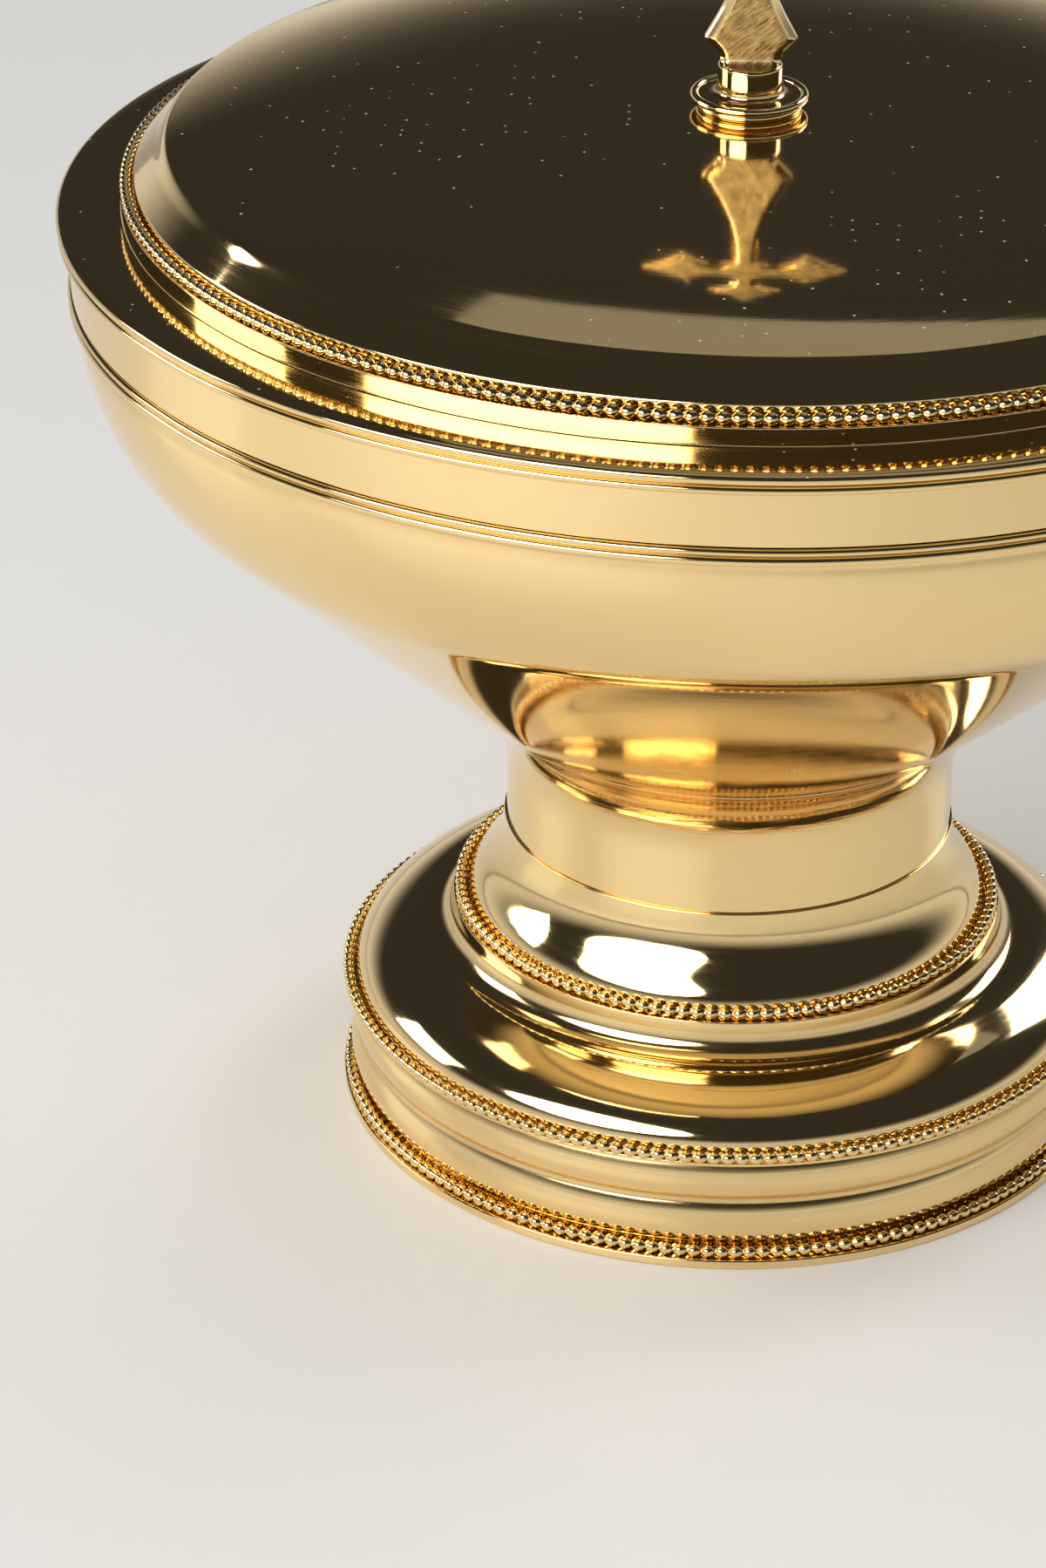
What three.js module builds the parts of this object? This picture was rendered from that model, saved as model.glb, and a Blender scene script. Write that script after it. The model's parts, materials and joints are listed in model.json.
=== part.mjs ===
// A covered ciborium of spun, turned and gilt brass: a stepped foot, a short waist,
// a wide flaring bowl and a low domed lid that carries a small cross.
// Millimetres, +Z up. The origin is the centre of the foot's underside.

import * as THREE from 'three';

// Stock and fits
const SHEET = 1.2; // wall of the spun shells
const BEAD_WIRE = 1.5; // diameter of the beaded wire
const WIRE_SEAT = 0.05; // solder under a beaded wire
const SOLDER_GAP = 0.15; // solder between two soldered pieces
const RUNNING_GAP = 0.4; // play of the lid's locating ring in the bowl
const HOLE_PLAY = 0.2; // play of a threaded rod in a plain hole

// Foot
const PLINTH_RADIUS = 46.9; // crest of the two bands of the plinth
const BAND_BULGE = 0.8; // how far each band swells
const BAND_GROOVE = 0.5; // height of the groove between the bands
const FLANGE_THICKNESS = 1.2;
const FLANGE_LIP = 0.23; // the flange shows this far outside its wire
const FLANGE_WIDTH = 6.5;
const PLINTH_HEIGHT = 13.18;
const DOME_INSET = 0.6; // the dome's skirt lies this far inside the plinth's crest
const DOME_HEIGHT = 11.5; // from the plinth's top to the ledge of the crown
const STEP_HEIGHT = 1.4; // upright edge of that ledge
const COVE_WIDTH = 2.6; // hollow between the ledge's edge and the dome
const COVE_DEPTH = 2.8;
const CROWN_RADIUS = 32.2;
const CROWN_HEIGHT = 11.3;
const CROWN_LEDGE = 1.9; // width of the ledge inside the crown's skirt
const PLATE_MARGIN = 0.3; // the crown's plate shows this far outside the waist

// Waist and bowl
const STEM_RADIUS = 27.5;
const STEM_WALL = 2;
const STEM_HEIGHT = 13.8; // from the crown to the corner where the hull would meet the waist
const HULL_ANGLE = 41.1; // slope of the straight part of the hull, in degrees
const FILLET_RADIUS = 14; // hollow between the waist and the hull
const STEM_LIP = 0.9; // thickness of the waist's upper edge
const BOWL_WALL = 1.4;
const BOWL_RADIUS = 78.9; // upright wall of the bowl
const BOWL_SHOULDER_RADIUS = 25.5; // turn from the hull into the upright wall
const BOWL_FLOOR_RADIUS = 17;
const BOWL_FLOOR_DROP = 4.4; // the floor lies this far below the corner of waist and hull
const FLOOR_TURN = 3; // width of the turn from the floor into the hull
const MOULDING_SEAT = 0.5; // depth of the recess for the moulding
const MOULDING_HEIGHT = 2.2;
const MOULDING_PROUD = 0.35; // the moulding stands this far outside the wall
const MOULDING_ROLL = 0.4; // how deep the groove between its two beads is
const RIM_WALL_HEIGHT = 7.5; // upright wall from the moulding to the joint with the lid
const RIM_WIRE = 1.2; // height and width of the wire round the rim

// Lid
const LID_LIP = 0.1; // the lid reaches this far outside the rim's wire
const LID_FLANGE_THICKNESS = 1.14;
const LID_STEP_INSET = 7.6; // from the lid's edge to its upright step
const LID_STEP_HEIGHT = 2.23;
const LID_WIRE_OVERHANG = 0.05; // the wire on the step hangs over its edge this far
const LID_SHOULDER_HEIGHT = 5.1; // from the step to the edge of the plateau
const LID_SHOULDER_DRAFT = 2.3; // the shoulder leans inwards this far
const LID_EDGE_ROLL = 1.6; // rounding of the plateau's edge
const LID_CROWN = 2.8; // rise of the plateau above its edge
const LID_CROWN_POWER = 5.5; // how late the plateau falls away: the power of its curve
const LOCATING_RING_HEIGHT = 5.5;
const LOCATING_RING_WALL = 1;

// Finial
const COLLAR_RADIUS = 6.9;
const COLLAR_HEIGHT = 2.5;
const COLLAR_BEAD = 1; // height of each of the collar's two beads
const COLLAR_FILLET = 0.9; // hollow from the collar's top to the neck
const NECK_RADIUS = 3.74;
const NECK_HEIGHT = 2.9; // above the collar
const NECK_CAP = 1; // solid top of the neck, over the tapped hole for the stud
const CROSS_THICKNESS = 2.8;
const CROSS_BEVEL = 0.8; // width of the bevels round both faces
const CROSS_BEVEL_DEPTH = 0.8;
const CROSS_HEIGHT = 33.2; // from the neck to the tip
const CROSS_ARM = 12.6; // from the crossing to the tip of the upper arm and the side arms
const CROSS_BARB = 7.3; // from the crossing to their barbs
const CROSS_BARB_WIDTH = 9.2;
const CROSS_ROOT_WIDTH = 3.2;
const CROSS_CORNER = 1.8; // radius of the inner corners between the arms
const CROSS_FOOT_BARB_HEIGHT = 3.1; // barbs of the lower arm above the neck
const CROSS_FOOT_BARB_WIDTH = 10.6;
const CROSS_FOOT_WIDTH = 6.8; // where the lower arm stands on the neck
const CROSS_STEPS = 5; // straight facets along each curved side

// Fasteners
const TIE_ROD_RADIUS = 3;
const TIE_ROD_TAIL = 6; // below its nut
const STUD_RADIUS = 1.5;
const STUD_TAIL = 2; // below its nut
const BOSS_RADIUS = 7;
const BOSS_HEIGHT = 6;
const BOSS_SOLDER = 0.3;
const FOOT_WASHER_RADIUS = 10;
const FOOT_NUT_WIDTH = 10; // across the flats
const LID_WASHER_RADIUS = 5;
const LID_NUT_WIDTH = 5.5;
const WASHER_THICKNESS = 1;
const NUT_THICKNESS = 0.8; // in rod diameters
const THREAD_PLAY = 0.15; // between a rod and the plain hole that stands for its thread

// Faceting
const SEGMENTS = 48; // round pieces of the body
const SMALL_SEGMENTS = 24; // fasteners and finial
const WIRE_SIDES = 6;
const PLATEAU_STEPS = 7; // straight facets from the collar to the edge of the lid's plateau

// Heights and radii that follow from the sizes above
const wireRadius = BEAD_WIRE / 2;
const plinthNeck = PLINTH_RADIUS - BAND_BULGE;
const baseWireRadius = plinthNeck + SOLDER_GAP + wireRadius;
const baseRadius = baseWireRadius + wireRadius + FLANGE_LIP;
const plinthTop = FLANGE_THICKNESS + PLINTH_HEIGHT;
const skirtRadius = PLINTH_RADIUS - DOME_INSET;
const plinthWireRadius = skirtRadius + SOLDER_GAP + wireRadius;
const ledgeHeight = plinthTop + DOME_HEIGHT;
const crownWireRadius = CROWN_RADIUS + SOLDER_GAP + wireRadius;
const stepRadius = crownWireRadius + wireRadius + SOLDER_GAP;
const crownTop = ledgeHeight + CROWN_HEIGHT;
const cornerHeight = crownTop + STEM_HEIGHT;
const hullSlope = THREE.MathUtils.degToRad(HULL_ANGLE);
const hullTurn = Math.tan((Math.PI / 2 - hullSlope) / 2);
const hullRadius = BOWL_RADIUS - MOULDING_SEAT;
const filletEnd = STEM_RADIUS + FILLET_RADIUS * hullTurn * Math.cos(hullSlope);
const shoulderHeight = onHull(hullRadius) + BOWL_SHOULDER_RADIUS * hullTurn;
const mouldingTop = shoulderHeight + MOULDING_HEIGHT;
const rimHeight = mouldingTop + RIM_WALL_HEIGHT;
const rimRadius = BOWL_RADIUS + SOLDER_GAP + RIM_WIRE;
const lidRadius = rimRadius + LID_LIP;
const lidFlangeTop = rimHeight + LID_FLANGE_THICKNESS;
const lidStepRadius = lidRadius - LID_STEP_INSET;
const lidLedge = lidFlangeTop + LID_STEP_HEIGHT;
const lidWireRadius = lidStepRadius + LID_WIRE_OVERHANG - wireRadius;
const lidSkirt = lidWireRadius - wireRadius - SOLDER_GAP;
const plateauRadius = lidSkirt - LID_SHOULDER_DRAFT;
const plateauEdge = lidLedge + LID_SHOULDER_HEIGHT;
const lidTop = plateauEdge + LID_EDGE_ROLL / 2 + LID_CROWN;
const neckFoot = lidTop + COLLAR_HEIGHT;
const neckTop = neckFoot + NECK_HEIGHT;
const floorHeight = cornerHeight - BOWL_FLOOR_DROP;

/** Height of the straight hull line at a radius. */
function onHull(radius) {
  return cornerHeight + Math.tan(hullSlope) * (radius - STEM_RADIUS);
}

/** A point at a distance inside the hull line, square to it, from the point at a radius. */
function insideHull(radius, depth) {
  return [radius - depth * Math.sin(hullSlope), onHull(radius) + depth * Math.cos(hullSlope)];
}

/** Points on an arc of a profile: its centre, its radius and its two end angles in degrees. */
function arc(centreRadius, centreHeight, radius, from, to, steps) {
  return Array.from({ length: steps + 1 }, (_, step) => {
    const angle = THREE.MathUtils.degToRad(from + ((to - from) * step) / steps);
    return [centreRadius + radius * Math.cos(angle), centreHeight + radius * Math.sin(angle)];
  });
}

/** Points on a cubic curve between two ends with two pulls. */
function sweep(start, pullA, pullB, end, steps) {
  const curve = new THREE.CubicBezierCurve(
    new THREE.Vector2(...start),
    new THREE.Vector2(...pullA),
    new THREE.Vector2(...pullB),
    new THREE.Vector2(...end),
  );
  return curve.getPoints(steps).map((point) => [point.x, point.y]);
}

function gilt() {
  return new THREE.MeshStandardMaterial({ color: 0xf6d89e, roughness: 0.08, metalness: 1 });
}

function castGilt() {
  return new THREE.MeshStandardMaterial({ color: 0xedcb8e, roughness: 0.3, metalness: 1 });
}

function brass() {
  return new THREE.MeshStandardMaterial({ color: 0xb5935a, roughness: 0.35, metalness: 1 });
}

function steel() {
  return new THREE.MeshStandardMaterial({ color: 0xb9bcc0, roughness: 0.3, metalness: 1 });
}

/** A turned piece. The profile runs anticlockwise as [radius, height] and closes on itself or on the axis. */
function turned(name, profile, material, segments = SEGMENTS) {
  const points = profile.map(([radius, height]) => new THREE.Vector2(radius, height));
  const onAxis = profile[0][0] === 0 && profile[profile.length - 1][0] === 0;
  if (!onAxis) points.push(points[0].clone());
  const geometry = new THREE.LatheGeometry(points, segments);
  geometry.rotateX(Math.PI / 2);
  const mesh = new THREE.Mesh(geometry, material);
  mesh.name = name;
  return mesh;
}

/** A plain ring of rectangular section. */
function band(name, inner, outer, bottom, top, material, segments) {
  const profile = [[inner, bottom], [outer, bottom], [outer, top], [inner, top]];
  return turned(name, profile, material, segments);
}

/** The ring that a beaded wire fills, with a flat side down on its seat. */
function wireRing(name, radius, seat) {
  const half = 180 / WIRE_SIDES;
  const toCorner = wireRadius / Math.cos(THREE.MathUtils.degToRad(half));
  const profile = arc(radius, seat + WIRE_SEAT + wireRadius, toCorner, half - 90, half + 270, WIRE_SIDES);
  profile.pop();
  return turned(name, profile, gilt());
}

function baseFlange() {
  const inner = baseRadius - FLANGE_WIDTH;
  const edge = FLANGE_THICKNESS / 4;
  return turned('base_flange', [
    [inner, 0],
    [baseRadius - edge, 0],
    [baseRadius, edge],
    [baseRadius, FLANGE_THICKNESS - edge],
    [baseRadius - edge, FLANGE_THICKNESS],
    [inner, FLANGE_THICKNESS],
  ], gilt());
}

/** One convex band of the plinth, from its lower to its upper edge. */
function bandCurve(bottom, top) {
  const rise = (top - bottom) / 4;
  return sweep(
    [plinthNeck, bottom],
    [plinthNeck + BAND_BULGE * 4 / 3, bottom + rise],
    [plinthNeck + BAND_BULGE * 4 / 3, top - rise],
    [plinthNeck, top],
    4,
  );
}

function plinth() {
  const wireTop = FLANGE_THICKNESS + WIRE_SEAT + BEAD_WIRE;
  const middle = (wireTop + plinthTop) / 2;
  const inner = plinthNeck - SHEET;
  return turned('plinth', [
    [inner, FLANGE_THICKNESS],
    [plinthNeck, FLANGE_THICKNESS],
    ...bandCurve(wireTop, middle - BAND_GROOVE / 2),
    ...bandCurve(middle + BAND_GROOVE / 2, plinthTop - BAND_GROOVE),
    [plinthWireRadius, plinthTop - BAND_GROOVE],
    [plinthWireRadius, plinthTop],
    [inner, plinthTop],
  ], gilt());
}

/** The foot's broad dome: an upright skirt, the dome, a cove and the ledge that carries the crown. */
function footDome() {
  const skirtTop = plinthTop + BEAD_WIRE;
  const stepFoot = ledgeHeight - STEP_HEIGHT;
  const coveRadius = stepRadius + COVE_WIDTH;
  const coveHeight = stepFoot - COVE_DEPTH;
  const across = skirtRadius - coveRadius;
  const up = coveHeight - skirtTop;
  const dome = (less) => sweep(
    [skirtRadius - less, skirtTop],
    [skirtRadius - less - across * 0.05, skirtTop + up * 0.54],
    [coveRadius + across * 0.4, coveHeight - less],
    [coveRadius, coveHeight - less],
    6,
  );
  const cove = sweep(
    [coveRadius, coveHeight],
    [stepRadius + COVE_WIDTH * 0.45, coveHeight],
    [stepRadius, stepFoot - COVE_DEPTH * 0.55],
    [stepRadius, stepFoot],
    4,
  );
  const ledgeInner = CROWN_RADIUS - CROWN_LEDGE;
  return turned('foot_dome', [
    [skirtRadius - SHEET, plinthTop],
    [skirtRadius, plinthTop],
    ...dome(0),
    ...cove.slice(1),
    [stepRadius, ledgeHeight],
    [ledgeInner, ledgeHeight],
    [ledgeInner, ledgeHeight - SHEET],
    [stepRadius - SHEET, ledgeHeight - SHEET],
    [stepRadius - SHEET, coveHeight - SHEET],
    ...dome(SHEET).reverse(),
  ], gilt());
}

/** The foot's crown: it leans in from its skirt, rises hollow to the waist and is closed by a plate. */
function footCrown() {
  const plateRadius = STEM_RADIUS + PLATE_MARGIN;
  const hole = TIE_ROD_RADIUS + HOLE_PLAY;
  const skirtTop = ledgeHeight + wireRadius;
  const across = CROWN_RADIUS - plateRadius;
  const up = crownTop - skirtTop;
  const crown = (less) => sweep(
    [CROWN_RADIUS - less, skirtTop],
    [plateRadius - less + across * 0.85, skirtTop + up * 0.3],
    [plateRadius - less + across * 0.02, skirtTop + up * 0.45],
    [plateRadius - less, crownTop - less],
    6,
  );
  return turned('foot_crown', [
    [CROWN_RADIUS - SHEET, ledgeHeight],
    [CROWN_RADIUS, ledgeHeight],
    ...crown(0),
    [hole, crownTop],
    [hole, crownTop - SHEET],
    ...crown(SHEET).reverse(),
  ], gilt());
}

/** The waist: a short drum with a hollow fillet that runs out into the bowl's hull. */
function stem() {
  const drumTop = cornerHeight - FILLET_RADIUS * hullTurn;
  const centre = STEM_RADIUS + FILLET_RADIUS;
  const fillet = arc(centre, drumTop, FILLET_RADIUS, 180, 90 + HULL_ANGLE, 6);
  const inner = STEM_RADIUS - STEM_WALL;
  const innerTop = onHull(inner) + STEM_LIP / Math.cos(hullSlope);
  return turned('stem', [
    [inner, crownTop],
    [STEM_RADIUS, crownTop],
    ...fillet,
    insideHull(filletEnd, STEM_LIP),
    [inner, innerTop],
  ], gilt());
}

/** The bowl: a rounded floor, a straight hull and an upright wall with a recess for the moulding. */
function bowlShell() {
  const seatDepth = STEM_LIP + SOLDER_GAP;
  const seamRadius = filletEnd + SOLDER_GAP;
  const shoulder = arc(
    hullRadius - BOWL_SHOULDER_RADIUS, shoulderHeight, BOWL_SHOULDER_RADIUS, HULL_ANGLE - 90, 0, 7,
  );
  const innerShoulder = arc(
    hullRadius - BOWL_SHOULDER_RADIUS, shoulderHeight, BOWL_SHOULDER_RADIUS - BOWL_WALL, 0, HULL_ANGLE - 90, 6,
  );
  const flatToHull = floorHeight - onHull(BOWL_FLOOR_RADIUS);
  const turnRadius = BOWL_FLOOR_RADIUS + (flatToHull - seatDepth / Math.cos(hullSlope)) / Math.tan(hullSlope);
  const outer = [
    [0, floorHeight],
    [(BOWL_FLOOR_RADIUS + turnRadius) / 2, floorHeight],
    insideHull(turnRadius + FLOOR_TURN, seatDepth),
    insideHull(seamRadius, seatDepth),
    [seamRadius, onHull(seamRadius)],
    ...shoulder,
    [hullRadius, mouldingTop],
    [BOWL_RADIUS, mouldingTop],
    [BOWL_RADIUS, rimHeight],
  ];
  const inner = [
    [hullRadius - BOWL_WALL, rimHeight],
    ...innerShoulder,
    insideHull(turnRadius + 2 * FLOOR_TURN, BOWL_WALL + seatDepth),
    [BOWL_FLOOR_RADIUS, floorHeight + SHEET],
    [0, floorHeight + SHEET],
  ];
  return turned('bowl_shell', [...outer, ...inner], gilt());
}

/** The double half-round moulding under the upright wall. */
function bowlMoulding() {
  const inner = hullRadius + SOLDER_GAP;
  const crest = BOWL_RADIUS + MOULDING_PROUD;
  const half = MOULDING_HEIGHT / 2;
  const gap = SOLDER_GAP / 2;
  const bead = (bottom) => [
    [crest - MOULDING_ROLL, bottom],
    [crest, bottom + half * 0.3],
    [crest, bottom + half * 0.7],
  ];
  return turned('bowl_moulding', [
    [inner, shoulderHeight],
    ...bead(shoulderHeight),
    ...bead(shoulderHeight + half),
    [crest - MOULDING_ROLL, mouldingTop - gap],
    [inner, mouldingTop - gap],
  ], gilt());
}

function bowlRimWire() {
  const inner = BOWL_RADIUS + SOLDER_GAP;
  const bottom = rimHeight - RIM_WIRE;
  const edge = RIM_WIRE * 0.3;
  return turned('bowl_rim_wire', [
    [inner, bottom],
    [rimRadius - edge, bottom],
    [rimRadius, bottom + edge],
    [rimRadius, rimHeight - edge],
    [rimRadius - edge, rimHeight],
    [inner, rimHeight],
  ], gilt());
}

/** The lid: a flat flange, an upright step, a leaning shoulder and a low plateau with a flat for the collar. */
function lidShell() {
  const lip = LID_FLANGE_THICKNESS * 0.3;
  const hole = STUD_RADIUS + HOLE_PLAY;
  const roll = sweep(
    [plateauRadius, plateauEdge - LID_EDGE_ROLL / 2],
    [plateauRadius - LID_EDGE_ROLL * 0.15, plateauEdge],
    [plateauRadius - LID_EDGE_ROLL * 0.6, plateauEdge + LID_EDGE_ROLL * 0.3],
    [plateauRadius - LID_EDGE_ROLL, plateauEdge + LID_EDGE_ROLL / 2],
    3,
  );
  const innerRing = lidSkirt - SHEET;
  const innerEdge = plateauRadius - LID_EDGE_ROLL - SHEET / 2;
  return turned('lid_shell', [
    [innerRing, rimHeight],
    [lidRadius - lip, rimHeight],
    [lidRadius, rimHeight + lip],
    [lidRadius, lidFlangeTop - lip],
    [lidRadius - lip, lidFlangeTop],
    [lidStepRadius, lidFlangeTop],
    [lidStepRadius, lidLedge],
    [lidSkirt, lidLedge],
    [lidSkirt, lidLedge + wireRadius],
    ...roll,
    ...plateau(plateauRadius - LID_EDGE_ROLL, lidTop, 0).slice(1),
    [hole, lidTop],
    ...plateau(innerEdge, lidTop - SHEET, LID_CROWN * 0.1).reverse(),
    [innerRing - LID_SHOULDER_DRAFT * 0.4, lidLedge],
  ], gilt());
}

/** Points over the low plateau, from its edge to the rim of the flat under the collar. */
function plateau(edge, top, less) {
  const flat = COLLAR_RADIUS + SOLDER_GAP;
  return Array.from({ length: PLATEAU_STEPS + 1 }, (_, step) => {
    const share = 1 - (step / PLATEAU_STEPS) ** 1.5; // closer together towards the edge, where it bends most
    return [flat + (edge - flat) * share, top - (LID_CROWN - less) * share ** LID_CROWN_POWER];
  });
}

function lidLocatingRing() {
  const outer = hullRadius - BOWL_WALL - RUNNING_GAP;
  const inner = outer - LOCATING_RING_WALL;
  return turned('lid_locating_ring', [
    [inner, rimHeight - LOCATING_RING_HEIGHT],
    [outer - LOCATING_RING_WALL * 0.4, rimHeight - LOCATING_RING_HEIGHT],
    [outer, rimHeight - LOCATING_RING_HEIGHT * 0.8],
    [outer, rimHeight],
    [inner, rimHeight],
  ], gilt());
}

/** The turned collar under the finial, with two beads round its edge. */
function finialCollar() {
  const hole = STUD_RADIUS + HOLE_PLAY;
  const half = COLLAR_BEAD / 2;
  const centre = COLLAR_RADIUS - half;
  return turned('finial_collar', [
    [hole, lidTop],
    [centre, lidTop],
    ...arc(centre, lidTop + half, half, -60, 60, 3),
    ...arc(centre, lidTop + 3 * half, half, -60, 90, 3),
    [NECK_RADIUS + COLLAR_FILLET, lidTop + 2 * COLLAR_BEAD],
    [NECK_RADIUS, neckFoot],
    [hole, neckFoot],
  ], gilt(), SMALL_SEGMENTS);
}

/** The neck, closed on top and tapped from below for the stud. */
function finialNeck() {
  const hole = STUD_RADIUS + THREAD_PLAY;
  const holeTop = neckTop - NECK_CAP;
  const edge = NECK_RADIUS * 0.12;
  return turned('finial_neck', [
    [0, holeTop],
    [hole, holeTop],
    [hole, neckFoot],
    [NECK_RADIUS, neckFoot],
    [NECK_RADIUS, neckTop - edge],
    [NECK_RADIUS - edge, neckTop],
    [0, neckTop],
  ], gilt(), SMALL_SEGMENTS);
}

/** Half the outline of an arm that ends in barbs and a point, from its inner corner to its tip, along +X. */
function armEdge() {
  const halfRoot = CROSS_ROOT_WIDTH / 2;
  const halfBarb = CROSS_BARB_WIDTH / 2;
  const root = halfRoot + CROSS_CORNER;
  const reach = CROSS_BARB - root;
  const side = sweep(
    [root, halfRoot],
    [root + reach * 0.5, halfRoot * 1.05],
    [root + reach * 0.8, halfBarb * 0.62],
    [CROSS_BARB, halfBarb],
    CROSS_STEPS,
  );
  const beyond = CROSS_ARM - CROSS_BARB;
  return [
    ...side,
    [CROSS_BARB + beyond * 0.3, halfBarb * 0.66],
    [CROSS_BARB + beyond * 0.6, halfBarb * 0.38],
    [CROSS_ARM, 0],
  ];
}

/** The side of the long arm, from the neck past its barbs up to the inner corner under the right arm. */
function longArmSide(centre) {
  const halfRoot = CROSS_ROOT_WIDTH / 2;
  const halfFoot = CROSS_FOOT_WIDTH / 2;
  const halfBarb = CROSS_FOOT_BARB_WIDTH / 2;
  const barbHeight = CROSS_FOOT_BARB_HEIGHT;
  const top = centre - halfRoot - CROSS_CORNER;
  const rise = top - barbHeight;
  return [
    ...sweep(
      [halfFoot, 0],
      [halfFoot, barbHeight * 0.5],
      [halfFoot + (halfBarb - halfFoot) * 0.35, barbHeight * 0.5],
      [halfBarb, barbHeight],
      3,
    ),
    ...sweep(
      [halfBarb, barbHeight],
      [halfBarb * 0.57, barbHeight + rise * 0.29],
      [halfRoot * 0.94, barbHeight + rise * 0.45],
      [halfRoot, top],
      CROSS_STEPS + 1,
    ).slice(1),
  ];
}

/** A cross with one long arm that stands on the neck and three short barbed arms. */
function cross() {
  const centre = CROSS_HEIGHT - CROSS_ARM;
  const edge = armEdge();
  const back = edge.slice(0, -1).reverse().map(([along, half]) => [along, -half]);
  const whole = [...edge, ...back];
  const cornerCentre = CROSS_ROOT_WIDTH / 2 + CROSS_CORNER;
  const corner = arc(cornerCentre, cornerCentre, CROSS_CORNER, 270, 180, 3).slice(1, -1);
  const rightSide = [
    ...longArmSide(centre),
    ...corner.slice().reverse().map(([x, y]) => [x, centre - y]),
    ...whole.map(([along, half]) => [along, centre - half]),
    ...corner.map(([x, y]) => [x, centre + y]),
    ...edge.map(([along, half]) => [half, centre + along]),
  ];
  const leftSide = rightSide.slice(0, -1).reverse().map(([x, y]) => [-x, y]);
  const outline = [...rightSide, ...leftSide];
  const shape = new THREE.Shape(outline.map(([x, y]) => new THREE.Vector2(x, y)));
  const geometry = new THREE.ExtrudeGeometry(shape, {
    depth: CROSS_THICKNESS - 2 * CROSS_BEVEL_DEPTH,
    bevelEnabled: true,
    bevelThickness: CROSS_BEVEL_DEPTH,
    bevelSize: CROSS_BEVEL,
    bevelOffset: -CROSS_BEVEL,
    bevelSegments: 1,
    steps: 1,
  });
  geometry.translate(0, 0, CROSS_BEVEL_DEPTH - CROSS_THICKNESS / 2);
  geometry.rotateX(Math.PI / 2);
  const mesh = new THREE.Mesh(geometry, castGilt());
  mesh.name = 'cross';
  mesh.position.z = neckTop;
  return mesh;
}

/** Corners of a regular polygon. */
function polygon(radius, sides) {
  return Array.from({ length: sides }, (_, side) => {
    const angle = (side / sides) * 2 * Math.PI;
    return new THREE.Vector2(radius * Math.cos(angle), radius * Math.sin(angle));
  });
}

/** A plain hexagon nut on the axis, hung below a height. */
function nut(name, width, rodRadius, top, material) {
  const thickness = NUT_THICKNESS * 2 * rodRadius;
  const shape = new THREE.Shape(polygon(width / 2 / Math.cos(Math.PI / 6), 6));
  shape.holes.push(new THREE.Path(polygon(rodRadius + THREAD_PLAY, SMALL_SEGMENTS).reverse()));
  const geometry = new THREE.ExtrudeGeometry(shape, { depth: thickness, bevelEnabled: false });
  const mesh = new THREE.Mesh(geometry, material);
  mesh.name = name;
  mesh.position.z = top - thickness;
  return mesh;
}

/** A threaded rod on the axis, without its thread. */
function rod(name, radius, bottom, top, material) {
  const chamfer = radius * 0.2;
  return turned(name, [
    [0, bottom],
    [radius - chamfer, bottom],
    [radius, bottom + chamfer],
    [radius, top - chamfer],
    [radius - chamfer, top],
    [0, top],
  ], material, SMALL_SEGMENTS);
}

/** What draws the bowl, the waist and the foot together. */
function footFasteners() {
  const bossTop = floorHeight - BOSS_SOLDER;
  const washerTop = crownTop - SHEET;
  const nutTop = washerTop - WASHER_THICKNESS;
  const nutBottom = nutTop - NUT_THICKNESS * 2 * TIE_ROD_RADIUS;
  return [
    band(
      'bowl_boss', TIE_ROD_RADIUS + THREAD_PLAY, BOSS_RADIUS, bossTop - BOSS_HEIGHT, bossTop,
      brass(), SMALL_SEGMENTS,
    ),
    rod('tie_rod', TIE_ROD_RADIUS, nutBottom - TIE_ROD_TAIL, bossTop, steel()),
    band(
      'foot_washer', TIE_ROD_RADIUS + HOLE_PLAY, FOOT_WASHER_RADIUS, nutTop, washerTop, brass(), SMALL_SEGMENTS,
    ),
    nut('foot_nut', FOOT_NUT_WIDTH, TIE_ROD_RADIUS, nutTop, steel()),
  ];
}

/** What draws the finial down on the lid. */
function lidFasteners() {
  const washerTop = lidTop - SHEET;
  const nutTop = washerTop - WASHER_THICKNESS;
  const nutBottom = nutTop - NUT_THICKNESS * 2 * STUD_RADIUS;
  const studTop = neckTop - NECK_CAP - THREAD_PLAY;
  return [
    rod('finial_stud', STUD_RADIUS, nutBottom - STUD_TAIL, studTop, steel()),
    band('lid_washer', STUD_RADIUS + HOLE_PLAY, LID_WASHER_RADIUS, nutTop, washerTop, brass(), SMALL_SEGMENTS),
    nut('lid_nut', LID_NUT_WIDTH, STUD_RADIUS, nutTop, brass()),
  ];
}

function vessel() {
  const group = new THREE.Group();
  group.add(
    baseFlange(),
    wireRing('base_bead_wire', baseWireRadius, FLANGE_THICKNESS),
    plinth(),
    wireRing('plinth_bead_wire', plinthWireRadius, plinthTop),
    footDome(),
    wireRing('crown_bead_wire', crownWireRadius, ledgeHeight),
    footCrown(),
    stem(),
    bowlShell(),
    bowlMoulding(),
    bowlRimWire(),
    ...footFasteners(),
  );
  return group;
}

function lid() {
  const group = new THREE.Group();
  group.add(
    lidShell(),
    wireRing('lid_bead_wire', lidWireRadius, lidLedge),
    lidLocatingRing(),
    finialCollar(),
    finialNeck(),
    cross(),
    ...lidFasteners(),
  );
  return group;
}

const ciborium = new THREE.Group();
ciborium.add(vessel(), lid());

export default ciborium;
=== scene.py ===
"""The looks of a covered ciborium of gilt brass, modelled in numpy around its fixed frame."""

import json
import math

import bmesh
import bpy
import numpy as np
from bpy.props import FloatProperty, FloatVectorProperty, IntProperty, PointerProperty
from bpy.types import Operator, Panel, PropertyGroup
from mathutils import Matrix, Vector


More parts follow.
